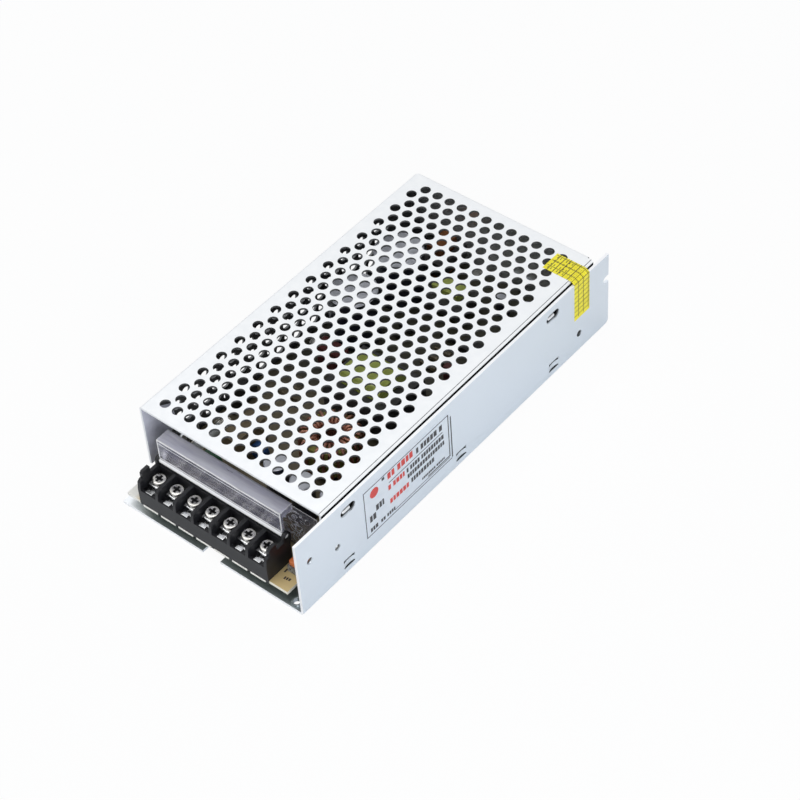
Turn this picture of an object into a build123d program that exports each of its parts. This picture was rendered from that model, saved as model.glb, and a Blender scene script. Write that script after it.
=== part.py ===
from build123d import *
import os

os.makedirs("parts", exist_ok=True)

# Enclosed switching power supply with a perforated cover, in millimetres.
# X runs across the case, Y from the terminals at the front to the back, and Z
# up from the underside of the tray. The origin is midway across and along.

# Outside size, over the seal on the top and the rating label on the side
length = 199.0
width = 97.0
height = 42.0
film = 0.1

# Small round things inside the case are drawn with this many sides
small_sides = 8

# Where a solid stands on its place, and where it hangs down from it
upright = (Align.CENTER, Align.CENTER, Align.MIN)
hanging = (Align.CENTER, Align.CENTER, Align.MAX)

front = -length / 2
back = length / 2
left = -width / 2

# Tray: floor and right-hand wall, folded from one sheet
tray_sheet = 1.2
tray_bend = 0.5
wall_top = 40.5
wall_face = width / 2 - film
wall_inner = wall_face - tray_sheet
front_notch_width = 9.5
front_notch_depth = 6.0
thread_collar_radius = 2.2
thread_collar_height = 0.8
m3_radius = 1.5
m3_tapped_radius = 1.54
m3_clear_radius = 1.7
corner_hole_x = 42.6
corner_hole_from_front = 2.9
base_hole_radius = 1.65
base_hole_spacing_x = 50.0
base_hole_spacing_y = 150.0
base_collar_radius = 3.0
base_collar_height = 1.0

# Right-hand wall: hook slots, side holes, an open slot, and lanced bridges
hook_slot_length = 8.6
hook_slot_height = 4.3
hook_slot_z = 34.8
front_hook_y = front + 30.2
back_hook_y = back - 38.8
side_hole_radius = 1.6
side_hole_y = front + 7.0
side_hole_z = 26.5
back_side_hole_y = back - 20.7
back_side_hole_z = 10.5
open_slot_depth = 3.6
open_slot_height = 3.6
open_slot_z = 27.0
wall_corner_cut = 2.6
bridge_length = 6.4
bridge_height = 2.6
bridge_z = 4.6
bridge_press = 1.0
bridge_lower_slit = 1.2
bridge_upper_slit = 0.9
bridge_ys = [front + 28.0, front + 98.1, back - 38.6]

# Cover: perforated top and left side, plain back, and a short right flange
cover_sheet = 1.0
cover_bend = 1.2
cover_from_front = 17.3
cover_from_back = 7.2
cover_side_gap = 0.6
cover_flange_depth = 12.0
cover_corner_x = 2.9
cover_corner_y = 1.2
cover_foot_notch_length = 10.0
cover_foot_notch_height = 7.8
cover_foot_notch_radius = 2.0
seam = 0.3
hook_length = 6.0
hook_height = 2.0
hook_engage = 0.6
hook_drop = 0.9
cover_front = front + cover_from_front
cover_back = back - cover_from_back
cover_top = height - film
cover_right = wall_inner - cover_side_gap
cover_length = cover_back - cover_front
cover_width = cover_right - left
cover_mid_x = (left + cover_right) / 2
cover_mid_y = (cover_front + cover_back) / 2

# Perforation: staggered rows, drawn six-sided to keep the sheet light
hole_radius = 2.3
hole_sides = 6
hole_pitch = 6.635
row_pitch = 5.507
top_edge_margin = 7.6
field_margin = 2.5
top_shift_x = -0.4
side_edge_margin = 18.5
side_top_margin = 10.9
side_rows = 7
side_row_pitch = hole_pitch / 2
screw_land = 5.2

# Tabs folded up from the floor, which the cover is screwed to
tab_length = 12.0
tab_height = 11.5
tab_relief = 1.2
tab_gap = 0.1
tab_screw_z = 8.0
left_tab_ys = [front + 38.0, back - 33.0]
back_tab_x = 10.0
screw_head_radius = 2.75
screw_head_clearance = 0.1
cover_screw_length = 4.6
screw_face_sink = 0.05

# Printed circuit board on its spacers, and the sheets that insulate it
spacer_height = 3.2
spacer_flats = 5.5
board_thickness = 1.6
board_bottom = tray_sheet + spacer_height
board_top = board_bottom + board_thickness
board_front_inset = 1.75
board_side_gap = 0.6
board_back_gap = 2.2
board_corner_right = 39.1
board_corner_depth = 13.2
board_bridge_gap = 0.2
board_notch_gap = 0.5
board_left = left + cover_sheet + board_side_gap
board_right = wall_inner - bridge_press - board_bridge_gap
board_front = front + board_front_inset
board_back = cover_back - cover_sheet - board_back_gap
board_screw_length = 4.4
board_screw_head_height = 1.8
board_screw_spots = [
    (board_left + 5.9, front + 26.5),
    (board_right - 4.5, front + 31.0),
    (board_left + 6.6, front + 110.5),
    (board_right - 9.5, front + 112.0),
    (board_left + 34.9, board_back - 3.6),
    (board_right - 6.0, board_back - 3.6),
]
liner_thickness = 0.3
liner_left = -46.0
liner_right = 46.0
liner_front = front + 14.0
liner_hole_radius = 4.0
barrier_thickness = 0.3
barrier_y = front + 22.3
barrier_top = 29.0
barrier_left = -40.0
barrier_right = 39.0
barrier_corner = 2.0
barrier_tab_length = 8.0
barrier_slot_gap = 0.15
barrier_tabs = [(-25.0, barrier_y), (25.0, barrier_y)]
lead_side = 0.7
lead_reach = 1.8

# Seven-way barrier terminal block, with a hinged clear cover
ways = 7
way_pitch = 9.63
rib = 1.6
block_mid_x = -4.7
block_front = front + 1.3
block_depth = 14.3
block_back = block_front + block_depth
block_width = ways * way_pitch + rib
block_left = block_mid_x - block_width / 2
block_right = block_mid_x + block_width / 2
seat_z = board_top + 6.1
sill_top = board_top + 7.5
sill_thickness = 1.5
rib_top = board_top + 12.7
rib_lean = 0.5
rib_chamfer = 1.1
back_wall_thickness = 2.6
latch_from_front = 2.4
latch_length = 4.4
latch_top = board_top + 16.1
latch_corner = 0.9
lip_thickness = 0.4
lip_drop = 0.6
lug_width = 1.3
lug_drop = 1.2
way_xs = [block_mid_x + (k - (ways - 1) / 2) * way_pitch for k in range(ways)]

contact_thickness = 0.8
contact_width = 7.2
contact_length = 6.9
tongue_width = 3.2
tongue_sheet = 0.6
tongue_reach = 1.8
tongue_gap = 0.1
contact_tail_width = 1.4
contact_back = block_back - back_wall_thickness
contact_slot_gap = 0.15
terminal_screw_y = front + 8.5
clamp_opening = 1.4
clamp_width = 6.6
clamp_thickness = 0.9
clamp_hole_clearance = 0.1
terminal_head_radius = 2.7
terminal_head_height = 2.0
terminal_shank_length = 7.0
screw_well_floor = 0.6
screw_well_clearance = 0.2
recess_length = 3.6
recess_width = 0.8
recess_depth = 1.2
contact_top = seat_z + contact_thickness
tongue_back = block_front + sill_thickness + tongue_gap
tongue_top = sill_top + tongue_gap + tongue_sheet
clamp_bottom = contact_top + clamp_opening
clamp_top = clamp_bottom + clamp_thickness

hinge_y = front + 14.4
hinge_z = board_top + 14.6
hinge_pin_radius = 1.1
hinge_clearance = 0.08
ear_radius = 2.0
flap_end_gap = 0.2
flap_pin_reach = 1.3
flap_barrel_radius = 1.3
flap_sheet = 1.4
flap_height = 12.4
flap_return = 5.6
flap_lip_drop = 3.4
flap_end_web = 1.6
flap_left = block_left + rib + flap_end_gap
flap_right = block_right - rib - flap_end_gap

# Output trimmer and its dial, and the indicator lamp beside them
trimmer_side = 7.0
trimmer_height = 3.6
trimmer_x = 35.7
trimmer_y = front + 13.4
dial_side = 6.0
dial_corner = 0.8
dial_height = 2.3
dial_gap = 0.1
dial_stem_radius = 1.2
dial_stem_clearance = 0.06
dial_stem_length = 2.0
dial_slot_width = 0.8
dial_slot_depth = 1.0
lamp_x = 40.4
lamp_y = front + 18.4
lamp_radius = 1.5
lamp_height = 5.2
lamp_rim = 0.35

# Main transformer, its core lying flat around the winding
winding_x = 7.5
winding_y = front + 93.5
winding_length = 21.0
winding_width = 17.0
winding_top = board_top + 28.0
winding_bottom = board_top + 2.2
winding_round = 3.0
core_leg = 4.4
core_yoke = 5.4
core_gap = 0.3
core_height = 13.0
core_middle = 7.0

# Drive transformer
drive_x = -6.5
drive_y = front + 161.0
drive_length = 13.5
drive_width = 9.0
drive_top = board_top + 15.5
drive_leg = 3.2
drive_core_height = 6.0

# Output choke: a wound ring lying flat on its base
choke_x = 10.0
choke_y = front + 63.5
choke_ring_outer = 11.8
choke_ring_inner = 6.6
choke_ring_height = 13.6
choke_base_height = 2.4
choke_base_radius = 9.5
choke_turns = 26
choke_wire_radius = 0.85
choke_gap = 0.25
choke_open_angle = 24.0

# Input filter choke
filter_x = -25.2
filter_y = front + 178.5
filter_length = 12.0
filter_width = 7.0
filter_top = board_top + 18.0
filter_leg = 2.7
filter_core_height = 7.0

# Cans, discs and boxes on the board
bulk_radius = 11.0
bulk_height = 28.0
bulk_from_cover = 2.0
bulk_spots = [(-30.7, front + 126.1), (-30.7, front + 156.6)]
output_can_radius = 5.0
output_can_height = 20.0
output_can_spots = [(3.8, front + 37.6), (18.6, front + 36.3), (33.0, front + 38.0)]
small_can_radius = 3.15
small_can_height = 11.0
small_can_spots = [
    (12.0, front + 173.0), (25.0, front + 173.0), (35.5, front + 158.0), (31.0, front + 128.0),
]
can_chamfer = 0.5
disc_radius = 4.0
disc_thickness = 3.2
disc_x = -14.9
disc_y = front + 47.0
thermistor_radius = 4.6
thermistor_thickness = 4.2
thermistor_x = -27.0
thermistor_y = front + 31.0
disc_lift = 1.6
x_box_x = -23.5
x_box_y = front + 47.5
x_box_width = 8.5
x_box_length = 17.5
x_box_height = 14.5
dipped_x = -26.0
dipped_y = front + 105.6
dipped_length = 14.0
dipped_width = 7.0
dipped_height = 12.5
dipped_chamfer = 1.2
small_film_length = 7.2
small_film_width = 3.0
small_film_height = 8.0
small_film_spots = [(20.0, front + 128.0), (-12.0, front + 112.0), (37.5, front + 147.0)]

# Fuse in its clips
fuse_radius = 2.6
fuse_length = 20.0
fuse_cap_length = 5.4
fuse_glass_radius = 2.35
fuse_x = -38.5
fuse_y = front + 43.5
clip_sheet = 0.5
clip_width = 4.4
clip_gap = 0.05
fuse_z = board_top + clip_sheet + fuse_radius

# Semiconductors bolted to the wall, over insulating pads
device_y = front + 22.5
transistor_ys = [front + 70.0, front + 86.0]
device_hole_z = 19.5
device_width = 10.2
device_body_thickness = 4.4
device_tab_thickness = 1.3
device_body_height = 8.6
device_foot = 12.0
device_tab_above_hole = 2.8
pad_thickness = 0.3
pad_overhang = 1.2
device_screw_head_height = 2.0
device_screw_sink = 0.9
device_ys = [device_y] + transistor_ys

# Chips, bridge, resistors and diodes
chip_x = 21.0
chip_y = front + 146.0
chip_length = 19.4
chip_width = 6.4
chip_height = 3.3
chip_lift = 0.6
chip_pins = 8
chip_pin_pitch = 2.54
bridge_rectifier_x = -42.0
bridge_rectifier_y = front + 66.0
bridge_rectifier_length = 15.0
bridge_rectifier_thickness = 3.8
bridge_rectifier_height = 11.0
resistor_radius = 1.2
resistor_length = 6.3
resistor_lift = 0.3
resistor_spots = [
    (-30.0, front + 80.0), (-30.0, front + 85.0), (-30.0, front + 90.0), (-14.0, front + 68.0),
    (-14.0, front + 73.0), (8.0, front + 128.0), (8.0, front + 133.0), (8.0, front + 138.0),
    (33.0, front + 168.0), (33.0, front + 176.0),
]
diode_radius = 1.35
diode_length = 5.0
diode_spots = [(-14.0, front + 140.0), (-14.0, front + 135.0), (4.0, front + 146.0), (34.0, front + 138.0)]
power_resistor_x = 35.0
power_resistor_y = front + 54.0
power_resistor_length = 15.0
power_resistor_radius = 2.6
power_resistor_lift = 1.0

# Mains voltage selector, reached through the cover's left side
selector_y = back - 20.0
selector_length = 14.0
selector_depth = 6.4
selector_height = 11.5
selector_z = board_top + 7.0
selector_window_length = 9.0
selector_window_height = 4.6
selector_face_gap = 0.2
slider_length = 4.6
slider_height = 3.6
slider_travel = 3.6
slider_foot = 1.0
slider_clearance = 0.1
slider_sink = 0.1
slider_groove_width = 1.2
slider_groove_depth = 0.5

# Rating label on the wall, and the seal across the cover's edge
label_length = 54.4
label_height = 28.0
label_from_front = 38.5
label_bottom = 8.5
seal_width = 10.4
seal_from_back = 13.6
seal_left = 32.0
seal_bottom = 20.0


# The tray. Its section is an L, and the tabs stand in notches of the floor.
tab_face = left + cover_sheet + tab_gap
with BuildPart() as tray:
    with BuildSketch(Plane.XZ.offset(-back)):
        with BuildLine():
            Polyline(
                (left, 0), (wall_face, 0), (wall_face, wall_top),
                (wall_inner, wall_top), (wall_inner, tray_sheet), (left, tray_sheet),
                close=True,
            )
        section = make_face()
        fillet(section.vertices().sort_by_distance((wall_face, 0))[0], tray_bend + tray_sheet)
        fillet(section.vertices().sort_by_distance((wall_inner, tray_sheet))[0], tray_bend)
    extrude(amount=length)
    # Notch at the middle of the front edge
    with BuildSketch(Plane.XY):
        with Locations((0, front)):
            Rectangle(front_notch_width, 2 * front_notch_depth)
    extrude(amount=tray_sheet, mode=Mode.SUBTRACT)
    # Floor notches beside and behind the folded tabs
    with BuildSketch(Plane.XY):
        for y in left_tab_ys:
            with Locations((left, y)):
                Rectangle(2 * (tab_face - left), tab_length + 2 * tab_relief)
            with Locations((left, y - (tab_length + tab_relief) / 2),
                           (left, y + (tab_length + tab_relief) / 2)):
                Rectangle(2 * (tab_face - left + 2 * tray_sheet), tab_relief)
        with Locations((back_tab_x, cover_back)):
            Rectangle(tab_length + 2 * tab_relief, 2 * (cover_sheet + tab_gap))
        with Locations((back_tab_x - tab_length / 2 - tab_relief / 2, cover_back),
                       (back_tab_x + tab_length / 2 + tab_relief / 2, cover_back)):
            Rectangle(tab_relief, 2 * (cover_sheet + tab_gap + 2 * tray_sheet))
    extrude(amount=tray_sheet, mode=Mode.SUBTRACT)
    for y in left_tab_ys:
        with BuildSketch(Plane.XZ.offset(-y - tab_length / 2)):
            with Locations((tab_face, 0)):
                Rectangle(tray_sheet, tab_height, align=(Align.MIN, Align.MIN))
        extrude(amount=tab_length)
    with BuildSketch(Plane.YZ.offset(back_tab_x - tab_length / 2)):
        with Locations((cover_back - cover_sheet - tab_gap, 0)):
            Rectangle(tray_sheet, tab_height, align=(Align.MAX, Align.MIN))
    extrude(amount=tab_length)
    # Tapped holes in the tabs, each with a cone that clears the screw's head
    tab_cone = m3_tapped_radius + 0.3
    with Locations(*[Plane((tab_face, y, tab_screw_z), z_dir=(-1, 0, 0)) for y in left_tab_ys]):
        CounterSinkHole(m3_tapped_radius, tab_cone, depth=2 * tray_sheet, counter_sink_angle=90)
    with Locations(Plane((back_tab_x, cover_back - cover_sheet - tab_gap, tab_screw_z), z_dir=(0, 1, 0))):
        CounterSinkHole(m3_tapped_radius, tab_cone, depth=2 * tray_sheet, counter_sink_angle=90)
    # Extruded collars of the threaded holes in the floor
    with BuildSketch(Plane.XY.offset(tray_sheet)):
        with Locations((corner_hole_x, front + corner_hole_from_front)):
            Circle(thread_collar_radius)
    extrude(amount=thread_collar_height)
    with BuildSketch(Plane.XY.offset(tray_sheet)):
        with GridLocations(base_hole_spacing_x, base_hole_spacing_y, 2, 2):
            Circle(base_collar_radius)
    extrude(amount=base_collar_height)
    with BuildSketch(Plane.XY):
        with Locations((corner_hole_x, front + corner_hole_from_front)):
            Circle(m3_tapped_radius)
        with GridLocations(base_hole_spacing_x, base_hole_spacing_y, 2, 2):
            Circle(base_hole_radius)
    extrude(amount=tray_sheet + base_collar_height, mode=Mode.SUBTRACT)
    # Slots, holes and slits of the right-hand wall
    with BuildSketch(Plane.YZ.offset(wall_inner)):
        with Locations((front_hook_y, hook_slot_z), (back_hook_y, hook_slot_z)):
            SlotOverall(hook_slot_length, hook_slot_height)
        with Locations((side_hole_y, side_hole_z), (back_side_hole_y, back_side_hole_z)):
            Circle(side_hole_radius)
        with Locations(*[(y, device_hole_z) for y in device_ys]):
            Circle(m3_tapped_radius)
        with Locations((back, open_slot_z)):
            SlotOverall(2 * open_slot_depth, open_slot_height)
        for y in bridge_ys:
            with Locations((y, bridge_z - bridge_lower_slit)):
                Rectangle(bridge_length, bridge_lower_slit + bridge_height + bridge_upper_slit,
                          align=(Align.CENTER, Align.MIN))
        with BuildLine():
            Polyline((back, 0), (back, wall_corner_cut), (back - wall_corner_cut, 0), close=True)
        make_face()
    extrude(amount=tray_sheet, mode=Mode.SUBTRACT)
    # The band of each lanced bridge bows inwards, and stops the board's edge
    for y in bridge_ys:
        with BuildSketch(Plane.XY.offset(bridge_z)):
            with BuildLine():
                near = y - bridge_length / 2
                far = y + bridge_length / 2
                outer = ThreePointArc((wall_face, near), (wall_face - bridge_press, y), (wall_face, far))
                inner = ThreePointArc((wall_inner, near), (wall_inner - bridge_press, y), (wall_inner, far))
                Line(outer @ 0, inner @ 0)
                Line(outer @ 1, inner @ 1)
            make_face()
        extrude(amount=bridge_height)
tray.part.label = "tray"
export_step(tray.part, "parts/tray.step")


# The cover, a folded sheet: top, left side, back and a short flange at the right
top_columns = round((cover_width - 2 * top_edge_margin) / hole_pitch) + 1
top_rows = round((cover_length - 2 * top_edge_margin) / (2 * row_pitch)) + 1
side_columns = round((cover_length - 2 * side_edge_margin) / (2 * row_pitch)) + 1
side_first_y = cover_front + side_edge_margin
side_top_z = cover_top - side_top_margin


def is_plain(y, z):
    """True where the left side is left plain, round the screws at its foot."""
    beside_screw = any(abs(y - a) < tab_length / 2 + hole_radius for a in left_tab_ys)
    return beside_screw and abs(z - tab_screw_z) < screw_land


side_holes = []
for column in range(2 * side_columns - 1):
    for row in range(side_rows):
        if (row + column) % 2 == 1:
            spot = (side_first_y + column * row_pitch, side_top_z - row * side_row_pitch)
            if not is_plain(*spot):
                side_holes.append(spot)

with BuildPart() as cover:
    with BuildSketch(Plane.XY.offset(tray_sheet)):
        with Locations((cover_mid_x, cover_mid_y)):
            Rectangle(cover_width, cover_length)
    extrude(amount=cover_top - tray_sheet)
    top_edges = cover.faces().sort_by(Axis.Z)[-1].edges()
    bends = top_edges.filter_by(Axis.Y) + top_edges.filter_by(Axis.X).sort_by(Axis.Y)[-1:]
    fillet(bends, cover_bend)
    open_faces = [cover.faces().sort_by(Axis.Z)[0], cover.faces().sort_by(Axis.Y)[0]]
    offset(amount=-cover_sheet, openings=open_faces)
    # The right flange is short, and the corner behind it is clipped
    with BuildSketch(Plane.YZ.offset(cover_right - cover_bend)):
        with Locations((cover_front, tray_sheet)):
            Rectangle(cover_length - cover_sheet, cover_top - cover_flange_depth - tray_sheet,
                      align=(Align.MIN, Align.MIN))
    extrude(amount=cover_bend, mode=Mode.SUBTRACT)
    with BuildSketch(Plane.XY.offset(tray_sheet)):
        with Locations((cover_right, cover_back)):
            Rectangle(2 * (cover_sheet + seam), 2 * cover_corner_y)
        # Open seam where the side and the back meet
        with Locations((left + cover_sheet, cover_back)):
            Rectangle(seam, 2 * cover_sheet, align=(Align.MIN, Align.CENTER))
    extrude(amount=cover_top - tray_sheet - cover_bend, mode=Mode.SUBTRACT)
    with BuildSketch(Plane.XY.offset(cover_top - cover_bend)):
        with BuildLine():
            Polyline(
                (cover_right, cover_back), (cover_right - cover_corner_x, cover_back),
                (cover_right, cover_back - cover_corner_y), close=True,
            )
        make_face()
    extrude(amount=cover_bend, mode=Mode.SUBTRACT)
    # The foot of the left side is cut away behind the terminal block
    with BuildSketch(Plane.YZ.offset(left)):
        with Locations((cover_front, tray_sheet)):
            Rectangle(cover_foot_notch_length, cover_foot_notch_height, align=(Align.MIN, Align.MIN))
        with Locations((selector_y, selector_z)):
            Rectangle(selector_window_length, selector_window_height)
        with Locations(*side_holes):
            RegularPolygon(hole_radius, hole_sides, rotation=30)
    extrude(amount=cover_sheet, mode=Mode.SUBTRACT)
    notch_corner = cover.edges().filter_by(Axis.X).sort_by_distance(
        (left, cover_front, tray_sheet + cover_foot_notch_height))[0]
    fillet(notch_corner, cover_foot_notch_radius)
    # Countersunk holes over the tabs
    cone_radius = screw_head_radius + screw_head_clearance
    with Locations(*[Plane((left, y, tab_screw_z), z_dir=(-1, 0, 0)) for y in left_tab_ys]):
        CounterSinkHole(m3_clear_radius, cone_radius, depth=2 * cover_sheet, counter_sink_angle=90)
    with Locations(Plane((back_tab_x, cover_back, tab_screw_z), z_dir=(0, 1, 0))):
        CounterSinkHole(m3_clear_radius, cone_radius, depth=2 * cover_sheet, counter_sink_angle=90)
    # Half-sheared hooks that stand in the slots of the tray's wall
    for y in (front_hook_y, back_hook_y):
        with BuildSketch(Plane.YZ.offset(cover_right)):
            with Locations((y, hook_slot_z - hook_drop)):
                Rectangle(hook_length, hook_height)
        extrude(amount=cover_side_gap + hook_engage)
    # Perforated field of the top
    with BuildSketch(Plane.XY.offset(cover_top - cover_sheet)):
        with Locations((cover_mid_x, cover_mid_y)):
            Rectangle(cover_width - 2 * field_margin, cover_length - 2 * field_margin)
    extrude(amount=cover_sheet, mode=Mode.SUBTRACT)
    with BuildSketch(Plane.XY.offset(cover_top - cover_sheet)):
        with Locations((cover_mid_x, cover_mid_y)):
            Rectangle(cover_width - 2 * field_margin, cover_length - 2 * field_margin)
        with Locations((cover_mid_x + top_shift_x, cover_mid_y - row_pitch / 2)):
            with GridLocations(hole_pitch, 2 * row_pitch, top_columns, top_rows):
                RegularPolygon(hole_radius, hole_sides, mode=Mode.SUBTRACT)
        with Locations((cover_mid_x + top_shift_x, cover_mid_y + row_pitch / 2)):
            with GridLocations(hole_pitch, 2 * row_pitch, top_columns - 1, top_rows):
                RegularPolygon(hole_radius, hole_sides, mode=Mode.SUBTRACT)
    extrude(amount=cover_sheet)
cover.part.label = "cover"
export_step(cover.part, "parts/cover.step")


# Countersunk screws that hold the cover to the tabs
cover_seats = [Plane((left + screw_face_sink, y, tab_screw_z), z_dir=(-1, 0, 0)) for y in left_tab_ys]
cover_seats.append(Plane((back_tab_x, cover_back - screw_face_sink, tab_screw_z), z_dir=(0, 1, 0)))
with BuildPart() as cover_screws:
    with Locations(*cover_seats):
        Cone(m3_radius, screw_head_radius, screw_head_radius - m3_radius,
             align=hanging)
        Cylinder(m3_radius, cover_screw_length, align=hanging)
cover_screws.part.label = "cover_screws"
export_step(cover_screws.part, "parts/cover_screws.step")


# Insulating sheet on the floor, cut away round the spacers and the collars
with BuildPart() as insulating_sheet:
    with BuildSketch(Plane.XY.offset(tray_sheet)):
        with Locations((liner_left, liner_front)):
            Rectangle(liner_right - liner_left, board_back - liner_front, align=(Align.MIN, Align.MIN))
        with Locations(*board_screw_spots):
            RegularPolygon(liner_hole_radius, small_sides, mode=Mode.SUBTRACT)
        with GridLocations(base_hole_spacing_x, base_hole_spacing_y, 2, 2):
            RegularPolygon(liner_hole_radius, small_sides, mode=Mode.SUBTRACT)
    extrude(amount=liner_thickness)
insulating_sheet.part.label = "insulating_sheet"
export_step(insulating_sheet.part, "parts/insulating_sheet.step")


# Hexagonal spacers under the board, and the screws down into them
with BuildPart() as board_spacers:
    with BuildSketch(Plane.XY.offset(tray_sheet)):
        with Locations(*board_screw_spots):
            RegularPolygon(spacer_flats / 2, 6, major_radius=False)
            RegularPolygon(m3_tapped_radius, small_sides, mode=Mode.SUBTRACT)
    extrude(amount=spacer_height)
board_spacers.part.label = "board_spacers"
export_step(board_spacers.part, "parts/board_spacers.step")

with BuildPart() as board_screws:
    with BuildSketch(Plane.XY.offset(board_top)):
        with Locations(*board_screw_spots):
            RegularPolygon(screw_head_radius, small_sides)
    extrude(amount=board_screw_head_height)
    with BuildSketch(Plane.XY.offset(board_top)):
        with Locations(*board_screw_spots):
            RegularPolygon(m3_radius, small_sides)
    extrude(amount=-board_screw_length)
board_screws.part.label = "board_screws"
export_step(board_screws.part, "parts/board_screws.step")


# Circuit board
with BuildPart() as circuit_board:
    with BuildSketch(Plane.XY.offset(board_bottom)):
        with Locations((board_left, board_front)):
            Rectangle(board_right - board_left, board_back - board_front, align=(Align.MIN, Align.MIN))
        with Locations((board_right, board_front)):
            Rectangle(2 * (board_right - board_corner_right), 2 * board_corner_depth, mode=Mode.SUBTRACT)
        with Locations(*[(board_left, y) for y in left_tab_ys]):
            Rectangle(2 * (tab_face + tray_sheet + board_notch_gap - board_left),
                      tab_length + 2 * tab_relief, mode=Mode.SUBTRACT)
        with Locations(*board_screw_spots):
            RegularPolygon(m3_clear_radius, small_sides, mode=Mode.SUBTRACT)
        with Locations(*barrier_tabs):
            Rectangle(barrier_tab_length + 2 * barrier_slot_gap, barrier_thickness + 2 * barrier_slot_gap,
                      mode=Mode.SUBTRACT)
    extrude(amount=board_thickness)
circuit_board.part.label = "circuit_board"
export_step(circuit_board.part, "parts/circuit_board.step")


# Clear sheet that stands behind the terminals, its tabs in the board
with BuildPart() as barrier_sheet:
    with BuildSketch(Plane.XZ.offset(-barrier_y)) as barrier_outline:
        with Locations((barrier_left, board_top)):
            Rectangle(barrier_right - barrier_left, barrier_top - board_top, align=(Align.MIN, Align.MIN))
        fillet(barrier_outline.vertices().sort_by(Axis.Z)[-2:], barrier_corner)
        with Locations(*[(x, board_bottom) for x, y in barrier_tabs]):
            Rectangle(barrier_tab_length, board_thickness, align=(Align.CENTER, Align.MIN))
    extrude(amount=barrier_thickness / 2, both=True)
barrier_sheet.part.label = "barrier_sheet"
export_step(barrier_sheet.part, "parts/barrier_sheet.step")


# Barrier terminal block: a sill in front, ribs between the ways, and a back wall
rib_front = block_front + rib_lean
with BuildPart() as terminal_block:
    with Locations((block_left, block_front, board_top)):
        Box(block_width, block_depth, seat_z - board_top, align=(Align.MIN, Align.MIN, Align.MIN))
        Box(block_width, sill_thickness, sill_top - board_top, align=(Align.MIN, Align.MIN, Align.MIN))
    with Locations((block_left, block_back, board_top)):
        Box(block_width, back_wall_thickness, rib_top - board_top, align=(Align.MIN, Align.MAX, Align.MIN))
    for k in range(ways + 1):
        with BuildSketch(Plane.YZ.offset(block_left + k * way_pitch)):
            with BuildLine():
                Polyline(
                    (block_front, board_top), (block_front, sill_top), (rib_front, rib_top - rib_chamfer),
                    (rib_front + rib_chamfer, rib_top), (block_back, rib_top), (block_back, board_top),
                    close=True,
                )
            make_face()
        extrude(amount=rib)
    # The end ribs rise into a latch at the front and a hinge ear at the back
    for x in (block_left, block_right - rib):
        with BuildSketch(Plane.YZ.offset(x)) as end_rib:
            with Locations((block_front + latch_from_front, board_top)):
                Rectangle(latch_length, latch_top - board_top, align=(Align.MIN, Align.MIN))
            chamfer(end_rib.vertices().sort_by(Axis.Z)[-2:], latch_corner)
            with Locations((hinge_y, hinge_z)):
                Circle(ear_radius)
                Rectangle(2 * ear_radius, hinge_z - rib_top + rib, align=(Align.CENTER, Align.MAX))
                Circle(hinge_pin_radius + hinge_clearance, mode=Mode.SUBTRACT)
        extrude(amount=rib)
    # Wells below the screws, and slots for the contacts' tails
    with Locations(*[(x, terminal_screw_y, board_top + screw_well_floor) for x in way_xs]):
        Cylinder(m3_radius + screw_well_clearance, seat_z, align=upright,
                 mode=Mode.SUBTRACT)
    with Locations(*[(x, contact_back + contact_slot_gap, board_top) for x in way_xs]):
        Box(contact_tail_width + 2 * contact_slot_gap, contact_thickness + 2 * contact_slot_gap,
            seat_z - board_top, align=(Align.CENTER, Align.MAX, Align.MIN), mode=Mode.SUBTRACT)
    # A lip that hangs over the board's front edge, lower at each rib
    with Locations((block_left, block_front, board_top)):
        Box(block_width, lip_thickness, lip_drop, align=(Align.MIN, Align.MIN, Align.MAX))
    with Locations(*[(block_left + rib / 2 + k * way_pitch, block_front, board_top)
                     for k in range(ways + 1)]):
        Box(lug_width, lip_thickness, lug_drop, align=(Align.CENTER, Align.MIN, Align.MAX))
terminal_block.part.label = "terminal_block"
export_step(terminal_block.part, "parts/terminal_block.step")


# Contact plates: a threaded seat with a hooked tongue in front and a tail to the board
with BuildPart() as terminal_contacts:
    with Locations(*[(x, contact_back, seat_z) for x in way_xs]):
        Box(contact_width, contact_length, contact_thickness, align=(Align.CENTER, Align.MAX, Align.MIN))
        Box(tongue_width, contact_back - tongue_back, contact_thickness,
            align=(Align.CENTER, Align.MAX, Align.MIN))
        Box(contact_tail_width, contact_thickness, seat_z - board_top,
            align=(Align.CENTER, Align.MAX, Align.MAX))
    # Each tongue rises behind the sill and folds forward over it
    with Locations(*[(x, tongue_back, seat_z) for x in way_xs]):
        Box(tongue_width, tongue_sheet, tongue_top - seat_z, align=(Align.CENTER, Align.MIN, Align.MIN))
    with Locations(*[(x, tongue_back + tongue_sheet, tongue_top) for x in way_xs]):
        Box(tongue_width, tongue_reach, tongue_sheet, align=(Align.CENTER, Align.MAX, Align.MAX))
    with Locations(*[(x, terminal_screw_y, contact_top) for x in way_xs]):
        Cylinder(m3_tapped_radius, 2 * contact_thickness, mode=Mode.SUBTRACT)
terminal_contacts.part.label = "terminal_contacts"
export_step(terminal_contacts.part, "parts/terminal_contacts.step")


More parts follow.
